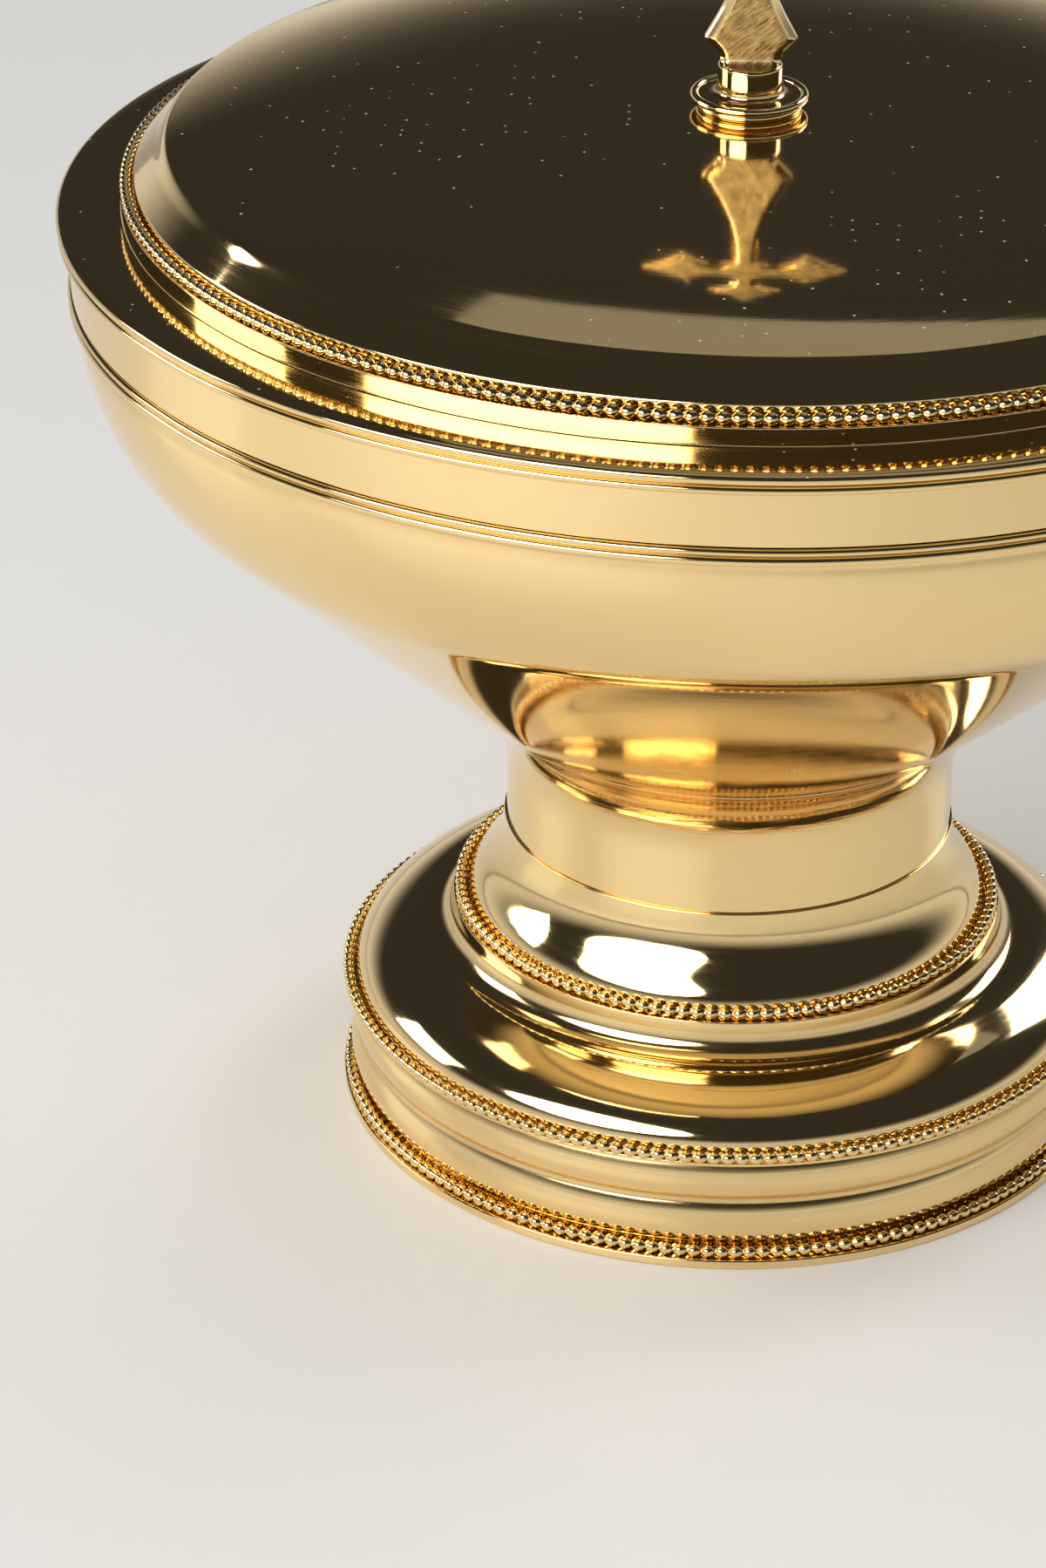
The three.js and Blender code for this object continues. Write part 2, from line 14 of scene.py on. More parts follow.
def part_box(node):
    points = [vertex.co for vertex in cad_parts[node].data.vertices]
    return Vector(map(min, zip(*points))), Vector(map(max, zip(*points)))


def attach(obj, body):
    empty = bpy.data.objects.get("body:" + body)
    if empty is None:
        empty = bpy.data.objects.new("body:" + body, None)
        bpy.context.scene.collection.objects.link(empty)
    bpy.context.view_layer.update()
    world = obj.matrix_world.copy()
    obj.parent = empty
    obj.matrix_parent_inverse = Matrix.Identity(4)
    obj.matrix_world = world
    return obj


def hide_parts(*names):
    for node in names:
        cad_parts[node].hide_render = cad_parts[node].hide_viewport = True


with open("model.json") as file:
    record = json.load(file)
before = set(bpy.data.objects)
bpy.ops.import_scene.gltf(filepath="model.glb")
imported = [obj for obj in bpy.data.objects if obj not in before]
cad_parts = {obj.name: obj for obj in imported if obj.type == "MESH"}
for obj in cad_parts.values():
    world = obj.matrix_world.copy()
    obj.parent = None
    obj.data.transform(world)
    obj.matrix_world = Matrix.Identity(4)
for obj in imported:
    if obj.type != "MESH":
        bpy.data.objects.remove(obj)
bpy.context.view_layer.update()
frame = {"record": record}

bl_info = {
    "name": "Gilt Ciborium",
    "version": (1, 0, 0),
    "blender": (4, 5, 0),
    "location": "View3D > Sidebar > Ciborium",
    "description": "Models the turned, spun, beaded and cast pieces of a covered ciborium and its stage",
    "category": "Add Mesh",
}

MM = 0.001
POLISHED, SATIN = 0, 1

# Sizes in millimetres that several outlines share
BEAD = 1.5
WAIST_LIP = 0.9
CLEARANCE_M3, CLEARANCE_M6 = 1.7, 3.2
TAPPED_M3, TAPPED_M6 = 1.65, 3.15


# Properties

def number(name, description, value, **kind):
    """A number that a user may change."""
    return FloatProperty(name=name, description=description, default=value, **kind)


def length(name, description, millimetres):
    """A size, held in metres."""
    return number(name, description, millimetres * MM, unit="LENGTH", precision=5)


def watts(name, description, value):
    """A lamp's power."""
    return number(name, description, value, unit="POWER")


def fraction(name, description, value):
    """A share from 0 to 1."""
    return number(name, description, value, subtype="FACTOR", min=0, max=1)


def tint(name, description, colour):
    """A colour that a user may change."""
    return FloatVectorProperty(
        name=name, description=description, default=colour, subtype="COLOR", size=3, min=0, max=1)


class CiboriumSizes(PropertyGroup):
    """Sizes that the frame's boxes don't give."""
    sheet: length("Sheet", "Wall of the spun shells", 1.2)
    bowl_wall: length("Bowl wall", "Wall of the bowl", 1.4)
    solder: length("Solder", "Gap between soldered pieces", 0.15)
    edge: length("Edge rounding", "How far each turned edge is rounded", 0.18)
    bead_pitch: length("Bead pitch", "From bead to bead along a beaded wire", 1.665)
    bead_neck: length("Bead neck", "Radius of the wire between two beads", 0.3)
    waist_radius: length("Waist radius", "Radius of the waist's drum", 27.5)
    waist_wall: length("Waist wall", "Wall of the waist", 2.0)
    fillet_radius: length("Fillet radius", "Hollow between the waist and the bowl", 14.0)
    shoulder_radius: length("Shoulder radius", "Turn from the hull into the upright wall", 25.5)
    hull_angle: number("Hull angle", "Slope of the bowl's straight hull", math.radians(41.1), subtype="ANGLE")
    rod_pitch: length("Tie rod pitch", "Pitch of the tie rod's thread", 1.0)
    stud_pitch: length("Stud pitch", "Pitch of the finial stud's thread", 0.5)
    segments: IntProperty(
        name="Segments", description="Faces round a turned piece", default=256, min=48, max=512)


class CiboriumFinish(PropertyGroup):
    """Colours and polish."""
    gilt: tint("Gilt", "Polished gilding", (0.92, 0.69, 0.34))
    # Painted shade: this dark colour is painted into hollows and between beads where shade falls, and a little
    # of it mottles the gilding at random.
    hollow_shade: tint("Tarnish", "Gilding in hollows that polishing misses", (0.5, 0.29, 0.1))
    cast_hollow: tint("Cast hollow", "Duller gilding in the scratches of the casting", (0.42, 0.25, 0.08))
    brass: tint("Brass", "Turned brass without gilding", (0.66, 0.5, 0.27))
    zinc: tint("Zinc", "Zinc plated steel", (0.6, 0.61, 0.62))
    dust: tint("Dust", "Dust on upward faces", (0.55, 0.53, 0.5))
    polish: fraction("Polish", "Roughness of the polished gilding", 0.055)
    satin: fraction("Satin", "Roughness of the insides", 0.24)


class CiboriumStage(PropertyGroup):
    """The floor and the light."""
    floor: tint("Floor", "Colour of the floor", (0.8, 0.79, 0.77))
    floor_roughness: fraction("Floor roughness", "Roughness of the floor", 0.34)
    floor_shine: fraction("Floor shine", "How strongly the floor mirrors", 0.25)
    horizon: number("Horizon", "Brightness of the surroundings at eye level", 0.7)
    overhead: number("Overhead", "Brightness of the surroundings above", 0.035)
    ambient: number("Ambient", "Even light on matt surfaces", 0.5)
    key_power: watts("Key", "Power of the oval lamp in front", 5.0)
    side_power: watts("Side", "Power of the lamp on the left", 2.2)
    back_power: watts("Back", "Power of the lamp behind", 3.4)
    top_power: watts("Top", "Power of the lamp overhead", 0.8)


# Outlines of turned pieces, as [radius, height, finish] in millimetres, anticlockwise

def reach(node):
    """Outer radius, bottom and top of a CAD node, in millimetres."""
    low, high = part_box(node)
    return high.x / MM, low.z / MM, high.z / MM


def stretch(points, finish=POLISHED):
    """Points of an outline, all with one finish."""
    points = np.asarray(points, float)
    return np.column_stack([points, np.full(len(points), float(finish))])


def curve(start, pull_a, pull_b, end, steps=24):
    """A cubic curve: the two ends and the two pulls, weighted by the cubic Bernstein polynomials."""
    t = np.linspace(0, 1, steps + 1)[:, None]
    start, pull_a, pull_b, end = (np.array(p, float) for p in (start, pull_a, pull_b, end))
    return (1 - t) ** 3 * start + 3 * (1 - t) ** 2 * t * pull_a + 3 * (1 - t) * t ** 2 * pull_b + t ** 3 * end


def arc(centre, radius, start, stop, steps=24):
    """A circle's arc about a centre, between two angles in degrees."""
    angle = np.radians(np.linspace(start, stop, steps + 1))
    return np.column_stack([centre[0] + radius * np.cos(angle), centre[1] + radius * np.sin(angle)])


def half_round(crest, depth, low, high, limit, steps):
    """A bead's outline round its crest, from a limit in degrees below it to the same limit above it."""
    t = np.radians(np.linspace(-limit, limit, steps + 1))
    middle, half = (low + high) / 2, (high - low) / 2
    return np.column_stack([crest - depth + depth * np.cos(t), middle + half * np.sin(t)])


def soften(outline, rounding, closed):
    """Each sharp corner becomes a quadratic curve with the corner as its pull.

    Its ends lie the rounding away along both sides, or 0.45 of the side where that is less. One more point
    beyond each end keeps the shading of the long faces flat.
    """
    least_turn, steps = 15, 6
    ahead, behind = (np.roll(outline, step, 0) - outline for step in (-1, 1))
    far, near = (np.maximum(np.hypot(way[:, 0], way[:, 1]), 1e-9)[:, None] for way in (ahead, behind))
    cosine = -np.sum(ahead[:, :2] * behind[:, :2], axis=1) / (far * near)[:, 0]
    sharp = np.degrees(np.arccos(np.clip(cosine, -1, 1))) > least_turn
    if not closed:
        sharp[[0, -1]] = False

    def beside(distance, most):
        return (outline + way / size * np.minimum(distance, most * size)
                for way, size in ((behind, near), (ahead, far)))

    first, last = beside(rounding, 0.45)
    lead, tail = beside(1.5 * rounding, 0.49)
    t = np.linspace(0, 1, steps)[None, :, None]
    turned = (1 - t) ** 2 * first[:, None] + 2 * t * (1 - t) * outline[:, None] + t ** 2 * last[:, None]
    rounded = np.concatenate([lead[:, None], turned, tail[:, None]], axis=1)
    keep = (np.arange(steps + 2) == 0) | sharp[:, None]
    points = np.where(sharp[:, None, None], rounded, outline[:, None])[keep]
    points[:, 2] = np.rint(points[:, 2])
    return points


def refine(outline, longest, closed):
    """Straight stretches are split evenly, so that no step is longer than a given length."""
    ends = np.roll(outline, -1, 0) if closed else outline[1:]
    starts = outline if closed else outline[:-1]
    size = np.hypot(*(ends - starts)[:, :2].T)
    counts = np.maximum(1, np.ceil(size / longest).astype(int))
    which = np.repeat(np.arange(len(starts)), counts)
    share = (np.arange(len(which)) - np.repeat(np.cumsum(counts) - counts, counts)) / counts[which]
    points = starts[which] + (ends - starts)[which] * share[:, None]
    points[:, 2] = starts[which, 2]
    return points if closed else np.vstack([points, outline[-1:]])


def hollowness(outline, width=1.2, gain=5):
    """How deep each point lies in a hollow: the mean height of its neighbours over its tangent."""
    points = outline[:, :2]
    tangent = np.roll(points, -1, 0) - np.roll(points, 1, 0)
    tangent /= np.maximum(np.hypot(tangent[:, 0], tangent[:, 1]), 1e-9)[:, None]
    outward = np.column_stack([tangent[:, 1], -tangent[:, 0]])
    offset = points[None] - points[:, None]
    near = np.hypot(offset[..., 0], offset[..., 1]) < width
    height = np.einsum("ijk,ik->ij", offset, outward)
    mean = (height * near).sum(1) / np.maximum(near.sum(1), 1)
    return np.clip(mean / width * gain, 0, 1)


# Meshes

def new_object(name, data):
    """An object at the origin, linked to the scene."""
    thing = bpy.data.objects.new(name, data)
    bpy.context.scene.collection.objects.link(thing)
    return thing


def settle(piece, node):
    """The piece stands for a CAD node, which is hidden, and rides on its body."""
    record = frame["record"]
    body = next(b for b, nodes in record["behaviour"]["bodies"].items() if node in nodes)
    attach(piece, body)
    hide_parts(node)
    return piece


def mesh_piece(name, node, points, faces, materials, slots=None, hollow=None, crease=35):
    """A smooth-shaded object at the origin, from points in millimetres, that stands for a CAD node."""
    mesh = bpy.data.meshes.new(name)
    mesh.from_pydata((points * MM).tolist(), [], faces)
    for material in materials:
        mesh.materials.append(material)
    if slots is not None:
        mesh.polygons.foreach_set("material_index", np.asarray(slots, np.int32))
    if hollow is not None:
        mesh.attributes.new("hollow", "FLOAT", "POINT").data.foreach_set("value", hollow.astype(np.float32))
    mesh.shade_smooth()
    mesh.set_sharp_from_angle(angle=math.radians(crease))
    mesh.validate()
    return settle(new_object(name, mesh), node)


def revolve(radius, height, closed, turn=None):
    """Points and faces of a surface of revolution.

    Radius and height are arrays over [place along the outline, turn], so either may change with the turn:
    x is the radius times the turn's cosine, y the radius times its sine. The turns are even unless they are
    given. An open outline starts and ends on the axis, and each of its ends becomes one point with a fan of
    triangles.
    """
    rows, turns = radius.shape
    here = np.arange(turns)
    ahead = np.roll(here, -1)
    turn = here * 2 * math.pi / turns if turn is None else turn
    points = np.stack([radius * np.cos(turn), radius * np.sin(turn), height], axis=-1)

    def between(low, high):
        return np.stack([low + here, low + ahead, high + ahead, high + here], axis=-1).reshape(-1, 4)

    if closed:
        low = np.arange(rows)[:, None] * turns
        quads = between(low, np.roll(low, -1, axis=0))
        return points.reshape(-1, 3), quads.tolist(), np.repeat(np.arange(rows), turns)
    ring = 1 + np.arange(rows - 2)[:, None] * turns
    top = ring[-1]
    first_fan = np.stack([np.zeros_like(here), 1 + ahead, 1 + here], axis=-1)
    last_fan = np.stack([top + here, top + ahead, np.full_like(here, 1 + (rows - 2) * turns)], axis=-1)
    points = np.vstack([points[0, :1], points[1:-1].reshape(-1, 3), points[-1, :1]])
    faces = between(ring[:-1], ring[1:]).tolist() + first_fan.tolist() + last_fan.tolist()
    rows_of_faces = np.concatenate([
        np.repeat(np.arange(1, rows - 2), turns), np.zeros(turns, int), np.full(turns, rows - 2)])
    return points, faces, rows_of_faces


def shell(outside, inside):
    """An outline with a polished outside and a satin inside."""
    return np.concatenate([stretch(outside), stretch(inside, SATIN)])


def lathe(name, node, outline, materials=None, longest=1.5, rounding=None):
    """A turned piece: its softened outline carried once round the axis."""
    sizes = bpy.context.scene.ciborium_sizes
    closed = bool(outline[[0, -1], 0].any())
    edge = sizes.edge / MM if rounding is None else rounding
    outline = refine(soften(outline, edge, closed), longest, closed)
    turns, materials = sizes.segments, materials or gilt_pair()
    radius, height = (np.repeat(outline[:, [column]], turns, axis=1) for column in (0, 1))
    points, faces, rows = revolve(radius, height, closed)
    slots = np.minimum(outline[rows, 2].astype(int), len(materials) - 1)
    # How deep each ring lies in a hollow; the gilding paints shade there.
    hollow = np.repeat(hollowness(outline), turns)
    if not closed:
        hollow = np.concatenate([hollow[:1], hollow[turns:-turns], hollow[-1:]])
    mesh_piece(name, node, points, faces, materials, slots, hollow)


# Materials

WHITE = (1, 1, 1, 1)


def shader_tree(name):
    """A new material, its node tree and its Principled BSDF."""
    material = bpy.data.materials.new(name)
    material.use_nodes = True
    return material, material.node_tree, material.node_tree.nodes["Principled BSDF"]


def add(tree, kind, links=None, **values):
    """A shader node with its attributes set and its inputs linked or set by name or index."""
    node = tree.nodes.new("ShaderNode" + kind)
    for key, value in values.items():
        setattr(node, key, value)
    for key, value in (links or {}).items():
        if isinstance(value, bpy.types.NodeSocket):
            tree.links.new(value, node.inputs[key])
        else:
            node.inputs[key].default_value = value
    return node


def maths(tree, operation, *values, clamp=False):
    """The result of one operation on sockets or numbers."""
    return add(tree, "Math", dict(enumerate(values)), operation=operation, use_clamp=clamp).outputs[0]


def spread(tree, value, low, high, start, stop):
    """A value carried from the range low to high onto start to stop."""
    return add(tree, "MapRange", {0: value, 1: low, 2: high, 3: start, 4: stop}).outputs[0]


def noise(tree, where, scale, detail):
    """Noise of one scale, from 0 to 1."""
    return add(tree, "TexNoise", {"Vector": where, "Scale": scale, "Detail": detail}).outputs["Fac"]


def blend(tree, share, first, second):
    """A colour between two colours."""
    return add(tree, "Mix", {"Factor": share, 6: first, 7: second}, data_type="RGBA").outputs[2]


def on_piece(tree):
    """A place on the piece itself, in its Object coordinates."""
    return add(tree, "TexCoord").outputs["Object"]


def new_group(name, inputs, outputs):
    """A shader node group with named sockets, and its input and output nodes."""
    group = bpy.data.node_groups.new(name, "ShaderNodeTree")
    for way, sockets in (("INPUT", inputs), ("OUTPUT", outputs)):
        for label, kind, *default in sockets:
            socket = group.interface.new_socket(name=label, in_out=way, socket_type="NodeSocket" + kind)
            if default:
                socket.default_value = default[0]
    return group, group.nodes.new("NodeGroupInput"), group.nodes.new("NodeGroupOutput")


def use(tree, name, maker, links):
    """The outputs of a node group placed in a tree. The group is made the first time that it is used."""
    group = bpy.data.node_groups.get(name) or maker(name)
    return add(tree, "Group", links, node_tree=group).outputs


def turned_lines(name):
    """Fine rings left by turning and polishing: noise over radius and height, broken up along the turn."""
    group, given, out = new_group(
        name, [("Spacing", "Float", 2600.0), ("Breaks", "Float", 6.0)], [("Height", "Float")])
    x, y, z = add(group, "SeparateXYZ", {0: on_piece(group)}).outputs
    radius = maths(group, "SQRT", maths(group, "ADD", *(maths(group, "POWER", side, 2.0) for side in (x, y))))
    turn = maths(group, "ARCTAN2", y, x)
    spacing, breaks = given.outputs["Spacing"], given.outputs["Breaks"]
    where = add(group, "CombineXYZ", {
        0: maths(group, "MULTIPLY", radius, spacing), 1: maths(group, "MULTIPLY", z, spacing),
        2: maths(group, "MULTIPLY", turn, breaks)})
    group.links.new(noise(group, where.outputs[0], 1.0, 2.0), out.inputs["Height"])
    return group


def gilt_tone_and_shade(name):
    """Gilding that varies a little from place to place at random, and is darkened by painted shade in its
    hollows.
    """
    group, given, out = new_group(
        name, [("Colour", "Color", WHITE), ("Tarnish", "Color", WHITE), ("Amount", "Float", 0.5)],
        [("Colour", "Color"), ("Mask", "Float")])
    where = on_piece(group)
    clouds = spread(group, noise(group, where, 38.0, 3.0), 0.35, 0.75, 0.0, 0.1)
    uneven = spread(group, noise(group, where, 420.0, 4.0), 0.3, 0.7, 0.55, 1.0)
    # Painted shade: the hollow attribute marks how deep a place lies in a hollow, and the colour darkens there;
    # the clouds add a little random mottle of the same colour.
    hollow = add(group, "Attribute", attribute_name="hollow").outputs["Fac"]
    deep = maths(group, "MULTIPLY", maths(group, "MULTIPLY", hollow, uneven), given.outputs["Amount"])
    mask = maths(group, "ADD", clouds, deep, clamp=True)
    group.links.new(blend(group, mask, given.outputs["Colour"], given.outputs["Tarnish"]), out.inputs["Colour"])
    group.links.new(mask, out.inputs["Mask"])
    return group


def dust_specks(name):
    """Specks of dust on upward faces.

    They are the middles of a few cells of a flat Voronoi pattern, more of them where noise is high.
    """
    group, given, out = new_group(
        name, [("Scale", "Float", 430.0), ("Share", "Float", 0.1)], [("Mask", "Float")])
    place = add(group, "TexCoord").outputs
    cells = add(group, "TexVoronoi", {
        "Vector": place["Object"], "Scale": given.outputs["Scale"]}, voronoi_dimensions="2D").outputs
    speck = spread(group, cells["Distance"], 0.085, 0.03, 0.0, 1.0)
    draw = add(group, "SeparateColor", {0: cells["Color"]}).outputs
    crowding = spread(group, noise(group, place["Object"], 34.0, 1.0), 0.35, 0.7, 0.15, 2.2)
    few = maths(group, "LESS_THAN", draw[0], maths(group, "MULTIPLY", crowding, given.outputs["Share"]))
    faint = spread(group, draw[1], 0.0, 1.0, 0.2, 1.0)
    facing = add(group, "SeparateXYZ", {0: place["Normal"]}).outputs
    mask = speck
    for part in (few, faint, maths(group, "GREATER_THAN", facing[2], 0.8)):
        mask = maths(group, "MULTIPLY", mask, part)
    group.links.new(mask, out.inputs["Mask"])
    return group


def metallic(tree, shader, colour, roughness, height, strength, depth):
    """Sets up a metal surface: its colour, its roughness, and bumps of some strength and depth in metres."""
    bump = add(tree, "Bump", {"Strength": strength, "Distance": depth, "Height": height})
    shader.inputs["Metallic"].default_value = 1.0
    tree.links.new(colour, shader.inputs["Base Color"])
    tree.links.new(roughness, shader.inputs["Roughness"])
    tree.links.new(bump.outputs[0], shader.inputs["Normal"])


def gilt_material(name, roughness, lines=0.25, dust=0.0, hollow_shade=0.6, spacing=2600.0, depth=0.00001):
    """Polished gilding on turned metal, with fine lines, painted shade in the hollows and a little dust."""
    finish = bpy.context.scene.ciborium_finish
    material, tree, shader = shader_tree(name)
    # The second colour is painted shade in the hollows, scaled by the amount, plus a little random mottle.
    tone = use(tree, "Gilt Tone and Shade", gilt_tone_and_shade, {
        "Colour": (*finish.gilt, 1), "Tarnish": (*finish.hollow_shade, 1), "Amount": hollow_shade})
    height = use(tree, "Turned Lines", turned_lines, {"Spacing": spacing})["Height"]
    worn = spread(tree, height, 0.3, 0.7, roughness * 0.7, roughness * 1.5)
    colour, rough = tone["Colour"], maths(tree, "MULTIPLY_ADD", tone["Mask"], 0.25, worn)
    if dust:
        speck = use(tree, "Dust Specks", dust_specks, {"Share": dust})["Mask"]
        colour = blend(tree, speck, colour, (*finish.dust, 1))
        rough = maths(tree, "MAXIMUM", rough, speck)
    metallic(tree, shader, colour, rough, height, lines, depth)
    if dust:
        tree.links.new(maths(tree, "SUBTRACT", 1.0, speck), shader.inputs["Metallic"])
    return material


def metal_material(name, colour, roughness, lines=0.6, spacing=900.0):
    """Bare turned metal: its own colour, mottled a little, with coarse turned lines."""
    material, tree, shader = shader_tree(name)
    height = use(tree, "Turned Lines", turned_lines, {"Spacing": spacing})["Height"]
    cloud = noise(tree, on_piece(tree), 260.0, 4.0)
    dull = tuple(0.62 * c for c in colour)
    mottled = blend(tree, spread(tree, cloud, 0.35, 0.7, 0.0, 0.8), (*colour, 1), (*dull, 1))
    rough = spread(tree, cloud, 0.3, 0.7, roughness * 0.75, roughness * 1.35)
    metallic(tree, shader, mottled, rough, height, lines, 0.00003)
    return material


def cast_material(name):
    """Gilding over a casting: polished on its bevels, and on its faces brushed with fine slanting scratches.

    The place is turned first and stretched after it, so the scratches run along the slant.
    """
    finish = bpy.context.scene.ciborium_finish
    slant, stretching = (0, math.radians(38), 0), (500.0, 1500.0, 5200.0)
    material, tree, shader = shader_tree(name)
    where = on_piece(tree)
    skin = add(tree, "Attribute", attribute_name="skin").outputs["Fac"]
    slanted = add(tree, "Mapping", {"Vector": where, "Rotation": slant}).outputs[0]
    drawn_out = add(tree, "Mapping", {"Vector": slanted, "Scale": stretching}).outputs[0]
    scratch = noise(tree, drawn_out, 1.0, 4.0)
    both = maths(tree, "ADD", scratch, noise(tree, where, 700.0, 3.0))
    dull = maths(tree, "MULTIPLY", spread(tree, both, 1.12, 0.84, 0.0, 0.6), skin)
    colour = blend(tree, dull, (*finish.gilt, 1), (*finish.cast_hollow, 1))
    brushed = spread(tree, scratch, 0.35, 0.65, 0.24, 0.4)
    rough = add(tree, "Mix", {0: skin, 2: finish.polish * 1.5, 3: brushed}).outputs[0]
    metallic(tree, shader, colour, rough, maths(tree, "MULTIPLY", both, skin), 0.5, 0.00004)
    return material


def gilt_pair():
    """The polished outside and the satin inside that the shells share."""
    finish = bpy.context.scene.ciborium_finish
    known, outside, inside = bpy.data.materials, "Polished gilding", "Satin gilding"
    return [known.get(outside) or gilt_material(outside, finish.polish),
            known.get(inside) or gilt_material(inside, finish.satin, lines=0.35, spacing=1100.0)]


# Shapes

def band(node, inner):
    """The outline of a plain ring that fills a CAD node's box round a hole."""
    outer, bottom, top = reach(node)
    return stretch([[inner, bottom], [outer, bottom], [outer, top], [inner, top]])


def plinth_outline(sizes):
    """An upright drum with two convex bands, each a parabola over its height, and a lip at the top."""
    lip, bottom, top = reach("plinth")
    wire, _, wire_top = reach("base_bead_wire")
    neck = wire - BEAD - sizes.solder / MM
    groove, bulge, lip_height = 0.5, 0.8, 0.5
    middle = (wire_top + top) / 2
    t = np.linspace(0, 1, 17)

    def swelling(low, high):
        return np.column_stack([neck + bulge * (1 - (2 * t - 1) ** 2), low + (high - low) * t])

    outer = np.vstack([
        [[neck, bottom]], swelling(wire_top, middle - groove / 2),
        swelling(middle + groove / 2, top - lip_height), [[lip, top - lip_height], [lip, top]]])
    inner = neck - sizes.sheet / MM
    return shell(outer, [[inner, top], [inner, bottom]])


def dome_outline(sizes):
    """An upright skirt, the broad dome as a cubic curve, a cove and the ledge under the crown."""
    skirt, bottom, top = reach("foot_dome")
    sheet = sizes.sheet / MM
    step = reach("crown_bead_wire")[0] + sizes.solder / MM
    skirt_top, step_foot = bottom + 1.5, top - 1.4
    cove_width, cove_depth, ledge = 2.6, 2.8, 3.7
    cove_radius, cove_height = step + cove_width, step_foot - cove_depth
    across, up = skirt - cove_radius, cove_height - skirt_top

    def dome(less):
        return curve(
            [skirt - less, skirt_top], [skirt - less - across * 0.05, skirt_top + up * 0.54],
            [cove_radius + across * 0.4, cove_height - less], [cove_radius, cove_height - less], 32)

    cove = curve(
        [cove_radius, cove_height], [step + cove_width * 0.45, cove_height],
        [step, step_foot - cove_depth * 0.55], [step, step_foot], 16)
    outer = np.vstack([[[skirt, bottom]], dome(0), cove[1:], [[step, top], [step - ledge, top]]])
    inner = np.vstack([
        [[step - ledge, top - sheet], [step - sheet, top - sheet], [step - sheet, cove_height - sheet]],
        dome(sheet)[::-1], [[skirt - sheet, bottom]]])
    return shell(outer, inner)


def crown_outline(sizes):
    """A skirt that leans in and rises hollow to the waist, closed by a plate with a hole for the tie rod."""
    skirt, bottom, top = reach("foot_crown")
    sheet, plate_margin, hole, skirt_height = sizes.sheet / MM, 0.3, CLEARANCE_M6, 0.75
    plate = sizes.waist_radius / MM + plate_margin
    skirt_top = bottom + skirt_height
    across, up = skirt - plate, top - skirt_top

    def crown(less):
        return curve(
            [skirt - less, skirt_top], [plate - less + across * 0.85, skirt_top + up * 0.3],
            [plate - less + across * 0.02, skirt_top + up * 0.45], [plate - less, top - less], 32)

    outer = np.vstack([[[skirt, bottom]], crown(0), [[hole, top]]])
    inner = np.vstack([[[hole, top - sheet]], crown(sheet)[::-1], [[skirt - sheet, bottom]]])
    return shell(outer, inner)


def hull(sizes):
    """The straight hull line of the bowl.

    Gives its height at a radius, the shoulder's height, the outer radius, the radius where the waist's fillet
    ends, and the tangent of half the hull's turn from upright.
    """
    _, shoulder, _ = reach("bowl_moulding")
    wall_step = 0.5
    outer = reach("bowl_shell")[0] - wall_step
    half_turn = math.tan((math.pi / 2 - sizes.hull_angle) / 2)
    slope = math.tan(sizes.hull_angle)
    level = shoulder - sizes.shoulder_radius / MM * half_turn
    fillet_end = sizes.waist_radius / MM + sizes.fillet_radius / MM * half_turn * math.cos(sizes.hull_angle)

    def height(radius):
        return level + slope * (radius - outer)

    return height, shoulder, outer, fillet_end, half_turn


def inside_hull(sizes, radius, depth):
    """A point inside the hull line, square to it."""
    height = hull(sizes)[0]
    return [radius - depth * math.sin(sizes.hull_angle), height(radius) + depth * math.cos(sizes.hull_angle)]


def waist_outline(sizes):
    """A drum whose top runs out through a round fillet into the slope of the bowl."""
    height, _, _, fillet_end, half_turn = hull(sizes)
    drum, fillet = sizes.waist_radius / MM, sizes.fillet_radius / MM
    bottom = reach("stem")[1]
    drum_top = height(drum) - fillet * half_turn
    inner = drum - sizes.waist_wall / MM
    angle = math.degrees(sizes.hull_angle)
    outer = np.vstack([[[drum, bottom]], arc([drum + fillet, drum_top], fillet, 180, 90 + angle, 28)])
    lip_top = height(inner) + WAIST_LIP / math.cos(sizes.hull_angle)
    return shell(outer, [inside_hull(sizes, fillet_end, WAIST_LIP), [inner, lip_top], [inner, bottom]])


def bowl_outline(sizes):
    """Floor, straight hull, round shoulder with a small cove over it, and an upright wall."""
    height, shoulder, outer, fillet_end, _ = hull(sizes)
    wall_radius, floor, rim = reach("bowl_shell")
    _, _, moulding_top = reach("bowl_moulding")
    wall, round_radius = sizes.bowl_wall / MM, sizes.shoulder_radius / MM
    seat = WAIST_LIP + sizes.solder / MM
    seam = fillet_end + sizes.solder / MM
    floor_radius, floor_turn, floor_wall = 17.0, 3.0, 1.2
    wall_foot = moulding_top + sizes.solder / MM / 2
    slope = math.tan(sizes.hull_angle)
    turn = floor_radius + (floor - height(floor_radius) - seat / math.cos(sizes.hull_angle)) / slope
    angle = math.degrees(sizes.hull_angle)
    centre = [outer - round_radius, shoulder]
    round_part = arc(centre, round_radius, angle - 90, 0, 40)
    cove_low, cove_high, cove_depth = shoulder - 1.35, shoulder - 0.15, 0.22
    t = (round_part[:, 1] - cove_low) / (cove_high - cove_low)
    round_part[:, 0] -= cove_depth * np.sin(np.pi * np.clip(t, 0, 1)) ** 2
    outside = np.vstack([
        [[0, floor], [(floor_radius + turn) / 2, floor], inside_hull(sizes, turn + floor_turn, seat),
         inside_hull(sizes, seam, seat), [seam, height(seam)]],
        round_part, [[outer, wall_foot], [wall_radius, wall_foot], [wall_radius, rim]]])
    inside = np.vstack([
        [[outer - wall, rim]], arc(centre, round_radius - wall, 0, angle - 90, 40),
        curve(inside_hull(sizes, turn + 2 * floor_turn, wall + seat),
              inside_hull(sizes, turn + floor_turn * 0.7, wall + seat),
              [floor_radius + 2, floor + floor_wall], [floor_radius - 4, floor + floor_wall], 18),
        [[0, floor + floor_wall]]])
    return shell(outside, inside)


